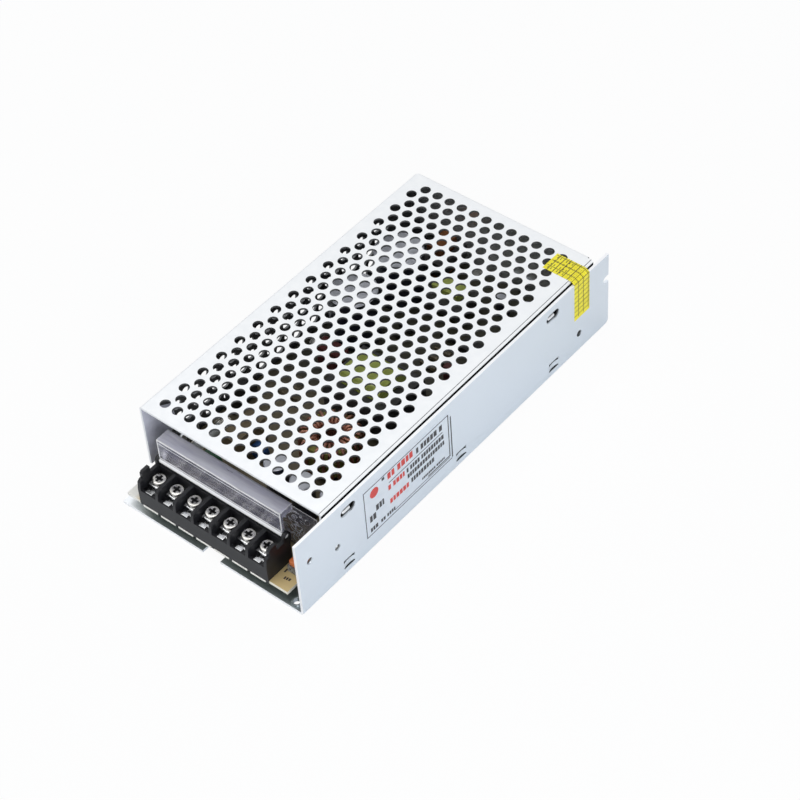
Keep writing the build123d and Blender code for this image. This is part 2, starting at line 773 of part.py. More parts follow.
# Each way has a cross-recessed screw with a square clamp washer held on it
for k, x in enumerate(way_xs, start=1):
    with BuildPart() as clamp_washer:
        with BuildSketch(Plane.XY.offset(clamp_bottom)):
            with Locations((x, terminal_screw_y)):
                Rectangle(clamp_width, clamp_width)
                Circle(m3_radius + clamp_hole_clearance, mode=Mode.SUBTRACT)
        extrude(amount=clamp_thickness)
    clamp_washer.part.label = f"clamp_washer_{k}"
    export_step(clamp_washer.part, f"parts/clamp_washer_{k}.step")

    with BuildPart() as terminal_screw:
        with Locations((x, terminal_screw_y, clamp_top)):
            Cylinder(terminal_head_radius, terminal_head_height, align=upright)
            Cylinder(m3_radius, terminal_shank_length, align=hanging)
        with Locations((x, terminal_screw_y, clamp_top + terminal_head_height)):
            Box(recess_length, recess_width, recess_depth, align=hanging,
                mode=Mode.SUBTRACT)
            Box(recess_width, recess_length, recess_depth, align=hanging,
                mode=Mode.SUBTRACT)
    terminal_screw.part.label = f"terminal_screw_{k}"
    export_step(terminal_screw.part, f"parts/terminal_screw_{k}.step")


# Clear flap over the terminals, standing open on its two pins
with BuildPart() as terminal_flap:
    with BuildSketch(Plane.YZ.offset(flap_left)):
        with Locations((hinge_y - flap_sheet / 2, hinge_z)):
            Rectangle(flap_sheet, flap_height, align=(Align.MIN, Align.MIN))
        with Locations((hinge_y - flap_sheet / 2, hinge_z + flap_height)):
            Rectangle(flap_sheet + flap_return, flap_sheet, align=(Align.MIN, Align.MAX))
        with Locations((hinge_y, hinge_z)):
            Circle(flap_barrel_radius)
    extrude(amount=flap_right - flap_left)
    for x in (flap_left, flap_right - flap_end_web):
        with BuildSketch(Plane.YZ.offset(x)) as end_web:
            with Locations((hinge_y, hinge_z + flap_height)):
                Rectangle(flap_sheet / 2 + flap_return, flap_lip_drop, align=(Align.MIN, Align.MAX))
            fillet(end_web.vertices().group_by(Axis.Y)[-1].sort_by(Axis.Z)[0], flap_lip_drop / 2)
        extrude(amount=flap_end_web)
    with Locations(Plane((flap_left, hinge_y, hinge_z), z_dir=(-1, 0, 0)),
                   Plane((flap_right, hinge_y, hinge_z), z_dir=(1, 0, 0))):
        Cylinder(hinge_pin_radius, flap_pin_reach, align=upright)
terminal_flap.part.label = "terminal_flap"
export_step(terminal_flap.part, "parts/terminal_flap.step")


# Output trimmer: a base with a bore, and the square slotted dial that turns in it
trimmer_top = board_top + trimmer_height
with BuildPart() as trimmer_base:
    with Locations((trimmer_x, trimmer_y, board_top)):
        Box(trimmer_side, trimmer_side, trimmer_height, align=upright)
    with Locations((trimmer_x, trimmer_y, trimmer_top)):
        Cylinder(dial_stem_radius + dial_stem_clearance, 2 * (dial_stem_length + dial_gap),
                 mode=Mode.SUBTRACT)
trimmer_base.part.label = "trimmer_base"
export_step(trimmer_base.part, "parts/trimmer_base.step")

with BuildPart() as trimmer_dial:
    with BuildSketch(Plane.XY.offset(trimmer_top + dial_gap)):
        with Locations((trimmer_x, trimmer_y)):
            RectangleRounded(dial_side, dial_side, dial_corner)
    extrude(amount=dial_height)
    with Locations((trimmer_x, trimmer_y, trimmer_top + dial_gap)):
        Cylinder(dial_stem_radius, dial_stem_length, align=hanging)
    with Locations((trimmer_x, trimmer_y, trimmer_top + dial_gap + dial_height)):
        Box(dial_side, dial_slot_width, dial_slot_depth, align=hanging, mode=Mode.SUBTRACT)
trimmer_dial.part.label = "trimmer_dial"
export_step(trimmer_dial.part, "parts/trimmer_dial.step")

with BuildPart() as indicator_lamp:
    with Locations((lamp_x, lamp_y, board_top)):
        Cylinder(lamp_radius + lamp_rim, 2 * lamp_rim, align=upright)
        Cylinder(lamp_radius, lamp_height - lamp_radius, align=upright)
    with Locations((lamp_x, lamp_y, board_top + lamp_height - lamp_radius)):
        Sphere(lamp_radius)
indicator_lamp.part.label = "indicator_lamp"
export_step(indicator_lamp.part, "parts/indicator_lamp.step")


# Main transformer: a taped winding on its bobbin, inside two E-shaped core halves
core_bottom = (winding_bottom + winding_top - core_height) / 2
core_wide = winding_width + 2 * (core_gap + core_leg)
with BuildPart() as transformer_core:
    for plane in (Plane((winding_x, winding_y, core_bottom)),
                  Plane((winding_x, winding_y, core_bottom), x_dir=(-1, 0, 0))):
        with BuildSketch(plane):
            Rectangle(winding_length / 2 + core_gap + core_yoke, core_wide, align=(Align.MIN, Align.CENTER))
            Rectangle(winding_length / 2 + core_gap, winding_width + 2 * core_gap,
                      align=(Align.MIN, Align.CENTER), mode=Mode.SUBTRACT)
            Rectangle(winding_length / 2 + core_gap, core_middle, align=(Align.MIN, Align.CENTER))
        extrude(amount=core_height)
transformer_core.part.label = "transformer_core"
export_step(transformer_core.part, "parts/transformer_core.step")

with BuildPart() as transformer_winding:
    with BuildSketch(Plane.YZ.offset(winding_x)):
        with Locations((winding_y, (winding_bottom + winding_top) / 2)):
            RectangleRounded(winding_width, winding_top - winding_bottom, winding_round)
            Rectangle(core_middle + 2 * core_gap, core_height + 2 * core_gap, mode=Mode.SUBTRACT)
    extrude(amount=winding_length / 2, both=True)
transformer_winding.part.label = "transformer_winding"
export_step(transformer_winding.part, "parts/transformer_winding.step")

with BuildPart() as transformer_bobbin:
    with BuildSketch(Plane.XY.offset(board_top)):
        with Locations((winding_x, winding_y)):
            Rectangle(winding_length, winding_width)
    extrude(amount=winding_bottom - board_top)
transformer_bobbin.part.label = "transformer_bobbin"
export_step(transformer_bobbin.part, "parts/transformer_bobbin.step")


# Drive transformer: the same build, smaller
drive_core_bottom = (board_top + drive_top - drive_core_height) / 2
drive_wide = drive_width + 2 * (core_gap + drive_leg)
with BuildPart() as drive_core:
    for plane in (Plane((drive_x, drive_y, drive_core_bottom)),
                  Plane((drive_x, drive_y, drive_core_bottom), x_dir=(-1, 0, 0))):
        with BuildSketch(plane):
            Rectangle(drive_length / 2 + core_gap + drive_leg, drive_wide, align=(Align.MIN, Align.CENTER))
            Rectangle(drive_length / 2 + core_gap, drive_width + 2 * core_gap,
                      align=(Align.MIN, Align.CENTER), mode=Mode.SUBTRACT)
            Rectangle(drive_length / 2 + core_gap, drive_leg, align=(Align.MIN, Align.CENTER))
        extrude(amount=drive_core_height)
drive_core.part.label = "drive_core"
export_step(drive_core.part, "parts/drive_core.step")

with BuildPart() as drive_winding:
    with BuildSketch(Plane.YZ.offset(drive_x)):
        with Locations((drive_y, (board_top + drive_top) / 2)):
            RectangleRounded(drive_width, drive_top - board_top, core_gap)
            Rectangle(drive_leg + 2 * core_gap, drive_core_height + 2 * core_gap, mode=Mode.SUBTRACT)
    extrude(amount=drive_length / 2, both=True)
drive_winding.part.label = "drive_winding"
export_step(drive_winding.part, "parts/drive_winding.step")


# Input filter choke: a winding round one leg, its core closed along Y
filter_core_bottom = (board_top + filter_top - filter_core_height) / 2
filter_wide = filter_width + 2 * (core_gap + filter_leg)
with BuildPart() as filter_core:
    for plane in (Plane((filter_x, filter_y, filter_core_bottom), x_dir=(0, 1, 0)),
                  Plane((filter_x, filter_y, filter_core_bottom), x_dir=(0, -1, 0))):
        with BuildSketch(plane):
            Rectangle(filter_length / 2 + core_gap + filter_leg, filter_wide,
                      align=(Align.MIN, Align.CENTER))
            Rectangle(filter_length / 2 + core_gap, filter_width + 2 * core_gap,
                      align=(Align.MIN, Align.CENTER), mode=Mode.SUBTRACT)
            Rectangle(filter_length / 2 + core_gap, filter_leg, align=(Align.MIN, Align.CENTER))
        extrude(amount=filter_core_height)
filter_core.part.label = "filter_core"
export_step(filter_core.part, "parts/filter_core.step")

with BuildPart() as filter_winding:
    with BuildSketch(Plane.XZ.offset(-filter_y)):
        with Locations((filter_x, (board_top + filter_top) / 2)):
            RectangleRounded(filter_width, filter_top - board_top, core_gap)
            Rectangle(filter_leg + 2 * core_gap, filter_core_height + 2 * core_gap, mode=Mode.SUBTRACT)
    extrude(amount=filter_length / 2, both=True)
filter_winding.part.label = "filter_winding"
export_step(filter_winding.part, "parts/filter_winding.step")


# Output choke: a ring core on its base, wound with ridged turns over most of it
choke_wire = 2 * choke_wire_radius
choke_base_top = board_top + choke_base_height
choke_cavity = choke_ring_height + 2 * choke_gap
choke_outer = choke_ring_outer + choke_gap + choke_wire
choke_inner = choke_ring_inner - choke_gap - choke_wire
choke_points = []
for step in range(2 * choke_turns):
    reach = choke_outer if step % 2 == 0 else choke_outer - choke_wire_radius
    choke_points.append(Vector(reach, 0).rotate(Axis.Z, 180 * step / choke_turns))

with BuildPart() as choke_base:
    with Locations((choke_x, choke_y, board_top)):
        Cylinder(choke_base_radius, choke_base_height, align=upright)
choke_base.part.label = "choke_base"
export_step(choke_base.part, "parts/choke_base.step")

with BuildPart() as choke_core:
    with BuildSketch(Plane((choke_x, choke_y, choke_base_top + choke_wire + choke_gap))):
        Circle(choke_ring_outer)
        Circle(choke_ring_inner, mode=Mode.SUBTRACT)
    extrude(amount=choke_ring_height)
choke_core.part.label = "choke_core"
export_step(choke_core.part, "parts/choke_core.step")

with BuildPart() as choke_winding:
    with BuildSketch(Plane((choke_x, choke_y, choke_base_top))):
        with BuildLine():
            Polyline(*choke_points, close=True)
        make_face()
        Circle(choke_inner, mode=Mode.SUBTRACT)
    extrude(amount=choke_cavity + 2 * choke_wire)
    with BuildSketch(Plane((choke_x, choke_y, choke_base_top + choke_wire))):
        Circle(choke_ring_outer + choke_gap)
        Circle(choke_ring_inner - choke_gap, mode=Mode.SUBTRACT)
    extrude(amount=choke_cavity, mode=Mode.SUBTRACT)
    # The turns stop short of each other, where the two ends leave
    with BuildSketch(Plane((choke_x, choke_y, choke_base_top))):
        with BuildLine():
            Polyline(
                (0, 0), Vector(2 * choke_outer, 0).rotate(Axis.Z, -choke_open_angle / 2),
                Vector(2 * choke_outer, 0).rotate(Axis.Z, choke_open_angle / 2), close=True,
            )
        make_face()
    extrude(amount=choke_cavity + 2 * choke_wire, mode=Mode.SUBTRACT)
choke_winding.part.label = "choke_winding"
export_step(choke_winding.part, "parts/choke_winding.step")


def cans(radius, tall, spots):
    """Radial cans, chamfered at the top, standing on the board."""
    with Locations(*[(x, y, board_top) for x, y in spots]):
        Cylinder(radius, tall - can_chamfer, align=upright)
    with Locations(*[(x, y, board_top + tall - can_chamfer) for x, y in spots]):
        Cone(radius, radius - can_chamfer, can_chamfer, align=upright)


def disc(radius, thick, x, y):
    """A dipped disc that stands on two leads above the board."""
    with Locations(Plane((x, y, board_top + disc_lift + radius), z_dir=(0, 1, 0))):
        Cylinder(radius, thick)
    with Locations(*[(x + side * radius / 2, y, board_top) for side in (-1, 1)]):
        Box(lead_side, lead_side, disc_lift + radius, align=upright)


def axial(radius, long, lift, spots):
    """Axial parts along X, each on two leads bent down to the board."""
    middles = [(x, y, board_top + lift + radius) for x, y in spots]
    with BuildSketch(*[Plane(middle, x_dir=(0, 1, 0), z_dir=(1, 0, 0)) for middle in middles]) as ends:
        RegularPolygon(radius, small_sides)
    extrude(ends.sketch, amount=long / 2, both=True)
    with Locations(*middles):
        Box(long + 2 * lead_reach, lead_side, lead_side)
    with Locations(*[(x + side * (long / 2 + lead_reach), y, board_top)
                     for x, y in spots for side in (-1, 1)]):
        Box(lead_side, lead_side, lift + radius + lead_side / 2, align=upright)


with BuildPart() as bulk_capacitors:
    cans(bulk_radius, bulk_height - bulk_from_cover, bulk_spots)
bulk_capacitors.part.label = "bulk_capacitors"
export_step(bulk_capacitors.part, "parts/bulk_capacitors.step")

with BuildPart() as output_capacitors:
    cans(output_can_radius, output_can_height, output_can_spots)
output_capacitors.part.label = "output_capacitors"
export_step(output_capacitors.part, "parts/output_capacitors.step")

with BuildPart() as small_capacitors:
    with BuildSketch(Plane.XY.offset(board_top)):
        with Locations(*small_can_spots):
            RegularPolygon(small_can_radius, small_sides)
    extrude(amount=small_can_height)
small_capacitors.part.label = "small_capacitors"
export_step(small_capacitors.part, "parts/small_capacitors.step")

with BuildPart() as disc_capacitor:
    disc(disc_radius, disc_thickness, disc_x, disc_y)
disc_capacitor.part.label = "disc_capacitor"
export_step(disc_capacitor.part, "parts/disc_capacitor.step")

with BuildPart() as thermistor:
    disc(thermistor_radius, thermistor_thickness, thermistor_x, thermistor_y)
thermistor.part.label = "thermistor"
export_step(thermistor.part, "parts/thermistor.step")

with BuildPart() as resistors:
    axial(resistor_radius, resistor_length, resistor_lift, resistor_spots)
    axial(power_resistor_radius, power_resistor_length, power_resistor_lift,
          [(power_resistor_x, power_resistor_y)])
resistors.part.label = "resistors"
export_step(resistors.part, "parts/resistors.step")

with BuildPart() as diodes:
    axial(diode_radius, diode_length, resistor_lift, diode_spots)
diodes.part.label = "diodes"
export_step(diodes.part, "parts/diodes.step")


# Boxed and dipped film capacitors
with BuildPart() as x_capacitor:
    with Locations((x_box_x, x_box_y, board_top)):
        Box(x_box_width, x_box_length, x_box_height, align=upright)
x_capacitor.part.label = "x_capacitor"
export_step(x_capacitor.part, "parts/x_capacitor.step")

with BuildPart() as film_capacitors:
    with Locations((dipped_x, dipped_y, board_top)):
        Box(dipped_length, dipped_width, dipped_height, align=upright)
    chamfer(film_capacitors.edges().filter_by(Axis.Z) + film_capacitors.faces().sort_by(Axis.Z)[-1].edges(),
            dipped_chamfer)
    with Locations(*[(x, y, board_top) for x, y in small_film_spots]):
        Box(small_film_length, small_film_width, small_film_height,
            align=upright)
film_capacitors.part.label = "film_capacitors"
export_step(film_capacitors.part, "parts/film_capacitors.step")


# Glass fuse with metal caps, held in two spring clips
with BuildPart() as input_fuse:
    with Locations(Plane((fuse_x, fuse_y, fuse_z), z_dir=(0, 1, 0))):
        Cylinder(fuse_glass_radius, fuse_length)
    with Locations(Plane((fuse_x, fuse_y - fuse_length / 2, fuse_z), z_dir=(0, 1, 0)),
                   Plane((fuse_x, fuse_y + fuse_length / 2, fuse_z), z_dir=(0, -1, 0))):
        Cylinder(fuse_radius, fuse_cap_length, align=upright)
input_fuse.part.label = "input_fuse"
export_step(input_fuse.part, "parts/input_fuse.step")

with BuildPart() as fuse_clips:
    clip_inside = 2 * (fuse_radius + clip_gap)
    clip_tall = fuse_z + fuse_radius / 2 - board_top
    for side in (-1, 1):
        with BuildSketch(Plane.XZ.offset(-(fuse_y + side * (fuse_length - fuse_cap_length) / 2))):
            with Locations((fuse_x, board_top)):
                Rectangle(clip_inside + 2 * clip_sheet, clip_tall, align=(Align.CENTER, Align.MIN))
            with Locations((fuse_x, board_top + clip_sheet)):
                Rectangle(clip_inside, clip_tall, align=(Align.CENTER, Align.MIN), mode=Mode.SUBTRACT)
        extrude(amount=clip_width / 2, both=True)
fuse_clips.part.label = "fuse_clips"
export_step(fuse_clips.part, "parts/fuse_clips.step")


# Semiconductors against the wall: pads, bodies with a tab and legs, and screws
pad_face = wall_inner - pad_thickness
with BuildPart() as insulating_pads:
    with BuildSketch(Plane.YZ.offset(pad_face)):
        with Locations(*[(y, device_hole_z - device_foot) for y in device_ys]):
            Rectangle(device_width + 2 * pad_overhang, device_foot + device_tab_above_hole + pad_overhang,
                      align=(Align.CENTER, Align.MIN))
        with Locations(*[(y, device_hole_z) for y in device_ys]):
            RegularPolygon(m3_clear_radius, small_sides, mode=Mode.SUBTRACT)
    extrude(amount=pad_thickness)
insulating_pads.part.label = "insulating_pads"
export_step(insulating_pads.part, "parts/insulating_pads.step")


def device(y):
    """A plastic body with a metal tab above it and three legs below, on the pad."""
    foot = device_hole_z - device_foot
    with Locations((pad_face, y, foot)):
        Box(device_body_thickness, device_width, device_body_height,
            align=(Align.MAX, Align.CENTER, Align.MIN))
        Box(device_tab_thickness, device_width, device_foot + device_tab_above_hole,
            align=(Align.MAX, Align.CENTER, Align.MIN))
    with Locations(*[(pad_face - device_body_thickness / 2, y + k * chip_pin_pitch, foot)
                     for k in (-1, 0, 1)]):
        Box(lead_side, lead_side, foot - board_top, align=hanging)
    with Locations(Plane((pad_face, y, device_hole_z), z_dir=(-1, 0, 0))):
        Cylinder(m3_clear_radius, 2 * device_tab_thickness, mode=Mode.SUBTRACT)


with BuildPart() as output_rectifier:
    device(device_y)
output_rectifier.part.label = "output_rectifier"
export_step(output_rectifier.part, "parts/output_rectifier.step")

with BuildPart() as power_transistors:
    for y in transistor_ys:
        device(y)
power_transistors.part.label = "power_transistors"
export_step(power_transistors.part, "parts/power_transistors.step")

with BuildPart() as device_screws:
    with BuildSketch(Plane.YZ.offset(pad_face - device_tab_thickness)):
        with Locations(*[(y, device_hole_z) for y in device_ys]):
            RegularPolygon(screw_head_radius, small_sides)
    extrude(amount=-device_screw_head_height)
    with BuildSketch(Plane.YZ.offset(pad_face - device_tab_thickness)):
        with Locations(*[(y, device_hole_z) for y in device_ys]):
            RegularPolygon(m3_radius, small_sides)
    extrude(amount=wall_face - device_screw_sink - pad_face + device_tab_thickness)
device_screws.part.label = "device_screws"
export_step(device_screws.part, "parts/device_screws.step")

with BuildPart() as bridge_rectifier:
    foot = board_top + disc_lift
    with Locations((bridge_rectifier_x, bridge_rectifier_y, foot)):
        Box(bridge_rectifier_thickness, bridge_rectifier_length, bridge_rectifier_height,
            align=upright)
    with Locations(*[(bridge_rectifier_x, bridge_rectifier_y + k * 1.5 * chip_pin_pitch, foot)
                     for k in (-1.5, -0.5, 0.5, 1.5)]):
        Box(lead_side, lead_side, disc_lift, align=hanging)
bridge_rectifier.part.label = "bridge_rectifier"
export_step(bridge_rectifier.part, "parts/bridge_rectifier.step")

# Controller chip, its two rows of pins bent down to the board
with BuildPart() as controller_chip:
    with Locations((chip_x, chip_y, board_top + chip_lift)):
        Box(chip_length, chip_width, chip_height, align=upright)
    with Locations((chip_x, chip_y, board_top)):
        with GridLocations(chip_pin_pitch, chip_width + lead_side, chip_pins, 2):
            Box(lead_side, lead_side, chip_lift + chip_height / 2, align=upright)
controller_chip.part.label = "controller_chip"
export_step(controller_chip.part, "parts/controller_chip.step")


# Mains voltage selector: a body with a track, and the slider seen from outside
selector_face = left + cover_sheet + selector_face_gap
track_depth = selector_face + slider_foot - left - slider_sink
with BuildPart() as selector_body:
    with Locations((selector_face, selector_y, board_top)):
        Box(selector_depth, selector_length, selector_height, align=(Align.MIN, Align.CENTER, Align.MIN))
    with Locations((selector_face, selector_y, selector_z)):
        Box(slider_foot + slider_clearance, slider_length + slider_travel + 2 * slider_clearance,
            slider_height + 2 * slider_clearance, align=(Align.MIN, Align.CENTER, Align.CENTER),
            mode=Mode.SUBTRACT)
selector_body.part.label = "selector_body"
export_step(selector_body.part, "parts/selector_body.step")

with BuildPart() as selector_slider:
    with Locations((left + slider_sink, selector_y - slider_travel / 2, selector_z)):
        Box(track_depth, slider_length, slider_height, align=(Align.MIN, Align.CENTER, Align.CENTER))
        Box(slider_groove_depth, slider_groove_width, slider_height,
            align=(Align.MIN, Align.CENTER, Align.CENTER), mode=Mode.SUBTRACT)
selector_slider.part.label = "selector_slider"
export_step(selector_slider.part, "parts/selector_slider.step")


# Label on the wall, and the seal folded over the gap between cover and wall
with BuildPart() as rating_label:
    with BuildSketch(Plane.YZ.offset(wall_face)):
        with Locations((front + label_from_front, label_bottom)):
            Rectangle(label_length, label_height, align=(Align.MIN, Align.MIN))
    extrude(amount=film)
rating_label.part.label = "rating_label"
export_step(rating_label.part, "parts/rating_label.step")

with BuildPart() as seal_sticker:
    with BuildSketch(Plane.XZ.offset(seal_from_back - back)):
        with BuildLine():
            Polyline(
                (seal_left, cover_top), (cover_right - film, cover_top), (wall_face, wall_top),
                (wall_face, seal_bottom), (wall_face + film, seal_bottom),
                (wall_face + film, wall_top + film), (cover_right, height), (seal_left, height), close=True,
            )
        make_face()
    extrude(amount=seal_width)
seal_sticker.part.label = "seal_sticker"
export_step(seal_sticker.part, "parts/seal_sticker.step")
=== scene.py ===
import math
import random

import bpy
from mathutils import Matrix, Vector


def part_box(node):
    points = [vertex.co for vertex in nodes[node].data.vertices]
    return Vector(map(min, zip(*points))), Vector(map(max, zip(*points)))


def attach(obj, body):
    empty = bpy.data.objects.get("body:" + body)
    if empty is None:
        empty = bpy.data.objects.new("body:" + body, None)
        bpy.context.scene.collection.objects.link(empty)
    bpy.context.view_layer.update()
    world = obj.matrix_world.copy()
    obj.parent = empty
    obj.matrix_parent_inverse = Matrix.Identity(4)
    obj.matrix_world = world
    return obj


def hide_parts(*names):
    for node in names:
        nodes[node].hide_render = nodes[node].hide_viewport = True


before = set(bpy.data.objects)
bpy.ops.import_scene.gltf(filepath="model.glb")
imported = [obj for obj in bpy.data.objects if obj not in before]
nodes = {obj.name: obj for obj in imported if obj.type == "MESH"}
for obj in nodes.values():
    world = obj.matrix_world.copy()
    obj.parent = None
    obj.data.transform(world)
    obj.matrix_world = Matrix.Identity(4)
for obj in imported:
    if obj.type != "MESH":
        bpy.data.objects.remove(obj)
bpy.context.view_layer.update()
mm = 0.001
bpy.ops.object.select_all(action="DESELECT")


# Camera
# It looks down on the terminals' end from the right, with a long lens, so the
# case's long edges stay nearly parallel, as they do in the photograph.
bpy.ops.object.camera_add(location=(0.45487, -0.47452, 0.69062))
camera = bpy.context.object
right = (0.77145, 0.63378, -0.05639)
up = (-0.4289, 0.5834, 0.6896)
back = (0.4699, -0.5079, 0.7219)
turn = Matrix((right, up, back)).transposed().to_quaternion()
camera.rotation_mode = "QUATERNION"
camera.rotation_quaternion = turn
camera.data.lens = 102.97
camera.data.sensor_width = 36.0
camera.data.clip_start = 0.01
camera.data.clip_end = 20.0
bpy.context.scene.camera = camera


# Stage and light
# A white floor that keeps a soft shadow, a white surround that metal and clear
# plastic can mirror, and two large soft lamps over the left and the front.
bpy.ops.mesh.primitive_plane_add(size=8.0, location=(0, 0, 0))
floor = bpy.context.object
floor.name = "studio_floor"
paper = bpy.data.materials.new("studio paper")
paper.use_nodes = True
tree = paper.node_tree
matt = tree.nodes["Principled BSDF"]
matt.inputs["Base Color"].default_value = (0.86, 0.87, 0.88, 1)
matt.inputs["Roughness"].default_value = 0.9
glow = tree.nodes.new("ShaderNodeEmission")
glow.inputs["Color"].default_value = (1, 1, 1, 1)
path = tree.nodes.new("ShaderNodeLightPath")
seen = tree.nodes.new("ShaderNodeMath")
seen.operation = "MAXIMUM"
share = tree.nodes.new("ShaderNodeMath")
share.operation = "MULTIPLY"
share.inputs[1].default_value = 0.93
blend = tree.nodes.new("ShaderNodeMixShader")
tree.links.new(path.outputs["Is Camera Ray"], seen.inputs[0])
tree.links.new(path.outputs["Is Transmission Ray"], seen.inputs[1])
tree.links.new(seen.outputs[0], share.inputs[0])
tree.links.new(share.outputs[0], blend.inputs[0])
tree.links.new(matt.outputs[0], blend.inputs[1])
tree.links.new(glow.outputs[0], blend.inputs[2])
tree.links.new(blend.outputs[0], tree.nodes["Material Output"].inputs["Surface"])
floor.data.materials.append(paper)

world = bpy.data.worlds.new("studio")
bpy.context.scene.world = world
world.use_nodes = True
tree = world.node_tree
plain = tree.nodes["Background"]
plain.inputs["Color"].default_value = (0.93, 0.96, 1.0, 1)
plain.inputs["Strength"].default_value = 0.45
white = tree.nodes.new("ShaderNodeBackground")
white.inputs["Color"].default_value = (1, 1, 1, 1)
white.inputs["Strength"].default_value = 1.0
path = tree.nodes.new("ShaderNodeLightPath")
either = tree.nodes.new("ShaderNodeMath")
either.operation = "MAXIMUM"
any_clear = tree.nodes.new("ShaderNodeMath")
any_clear.operation = "MAXIMUM"
blend = tree.nodes.new("ShaderNodeMixShader")
tree.links.new(path.outputs["Is Camera Ray"], either.inputs[0])
tree.links.new(path.outputs["Is Glossy Ray"], either.inputs[1])
tree.links.new(either.outputs[0], any_clear.inputs[0])
tree.links.new(path.outputs["Is Transmission Ray"], any_clear.inputs[1])
tree.links.new(any_clear.outputs[0], blend.inputs[0])
tree.links.new(plain.outputs[0], blend.inputs[1])
tree.links.new(white.outputs[0], blend.inputs[2])
tree.links.new(blend.outputs[0], tree.nodes["World Output"].inputs["Surface"])

over_left, beside_front = (-0.35, -0.15, 1.3), (1.0, -0.6, 0.5)
for place, size, power in ((over_left, 0.9, 6.6), (beside_front, 0.8, 7.0)):
    bpy.ops.object.light_add(type="AREA", location=place)
    lamp = bpy.context.object
    lamp.data.size = size
    lamp.data.energy = power
    lamp.rotation_euler = Vector(place).to_track_quat("Z", "Y").to_euler()

bpy.context.scene.view_settings.view_transform = "Standard"


# Tray
# The floor and the right wall are one folded sheet of bare aluminium, with a
# faint rolling grain along its length. Three bands lanced in the wall bow in a
# little, each between two narrow slits.
def surface(name, dark, light, rough, scale, bump, metallic=0.0, stretch=(1, 1, 1), depth=0.0001):
    """A finish whose colour, gloss and relief all follow a fine noise on the piece."""
    material = bpy.data.materials.new(name)
    material.use_nodes = True
    tree = material.node_tree
    shader = tree.nodes["Principled BSDF"]
    shader.inputs["Metallic"].default_value = metallic
    place = tree.nodes.new("ShaderNodeTexCoord")
    mapping = tree.nodes.new("ShaderNodeMapping")
    mapping.inputs["Scale"].default_value = stretch
    noise = tree.nodes.new("ShaderNodeTexNoise")
    noise.inputs["Scale"].default_value = scale
    noise.inputs["Detail"].default_value = 5.0
    ramp = tree.nodes.new("ShaderNodeValToRGB")
    ramp.color_ramp.elements[0].position = 0.32
    ramp.color_ramp.elements[1].position = 0.68
    ramp.color_ramp.elements[0].color = (*dark, 1)
    ramp.color_ramp.elements[1].color = (*light, 1)
    gloss = tree.nodes.new("ShaderNodeMapRange")
    gloss.inputs["To Min"].default_value = rough - 0.06
    gloss.inputs["To Max"].default_value = rough + 0.06
    relief = tree.nodes.new("ShaderNodeBump")
    relief.inputs["Strength"].default_value = bump
    relief.inputs["Distance"].default_value = depth
    tree.links.new(place.outputs["Object"], mapping.inputs["Vector"])
    tree.links.new(mapping.outputs["Vector"], noise.inputs["Vector"])
    tree.links.new(noise.outputs["Fac"], ramp.inputs["Fac"])
    tree.links.new(noise.outputs["Fac"], gloss.inputs["Value"])
    tree.links.new(noise.outputs["Fac"], relief.inputs["Height"])
    tree.links.new(ramp.outputs["Color"], shader.inputs["Base Color"])
    tree.links.new(gloss.outputs["Result"], shader.inputs["Roughness"])
    tree.links.new(relief.outputs["Normal"], shader.inputs["Normal"])
    return material


def past(material, source, axis, level, colour, rough, metallic, spread=0.001, below=False):
    """Past a level, or where the surface faces that way, the finish changes."""
    tree = material.node_tree
    shader = tree.nodes["Principled BSDF"]
    place = tree.nodes.new("ShaderNodeTexCoord")
    parts = tree.nodes.new("ShaderNodeSeparateXYZ")
    beyond = tree.nodes.new("ShaderNodeMapRange")
    spread = spread if source == "Normal" else spread * mm
    beyond.inputs["From Min"].default_value = level + spread if below else level - spread
    beyond.inputs["From Max"].default_value = level - spread if below else level + spread
    tree.links.new(place.outputs[source], parts.inputs["Vector"])
    tree.links.new(parts.outputs[axis], beyond.inputs[0])
    tint = tree.nodes.new("ShaderNodeMix")
    tint.data_type = "RGBA"
    tint.inputs[7].default_value = (*colour, 1)
    tree.links.new(beyond.outputs[0], tint.inputs[0])
    tree.links.new(shader.inputs["Base Color"].links[0].from_socket, tint.inputs[6])
    tree.links.new(tint.outputs[2], shader.inputs["Base Color"])
    gloss = tree.nodes.new("ShaderNodeMix")
    gloss.inputs[3].default_value = rough
    tree.links.new(beyond.outputs[0], gloss.inputs[0])
    tree.links.new(shader.inputs["Roughness"].links[0].from_socket, gloss.inputs[2])
    tree.links.new(gloss.outputs[0], shader.inputs["Roughness"])
    metal = tree.nodes.new("ShaderNodeMix")
    metal.inputs[2].default_value = shader.inputs["Metallic"].default_value
    if shader.inputs["Metallic"].links:
        tree.links.new(shader.inputs["Metallic"].links[0].from_socket, metal.inputs[2])
    metal.inputs[3].default_value = metallic
    tree.links.new(beyond.outputs[0], metal.inputs[0])
    tree.links.new(metal.outputs[0], shader.inputs["Metallic"])
    return material


def smooth(piece, angle):
    """Smooths what is not a corner, with large flat faces kept truly flat."""
    bpy.ops.object.select_all(action="DESELECT")
    piece.select_set(True)
    bpy.context.view_layer.objects.active = piece
    bpy.ops.object.shade_smooth_by_angle(angle=math.radians(angle))
    weighted = piece.modifiers.new("weighted", "WEIGHTED_NORMAL")
    weighted.weight = 100
    weighted.keep_sharp = True
    bpy.ops.object.modifier_apply(modifier=weighted.name)


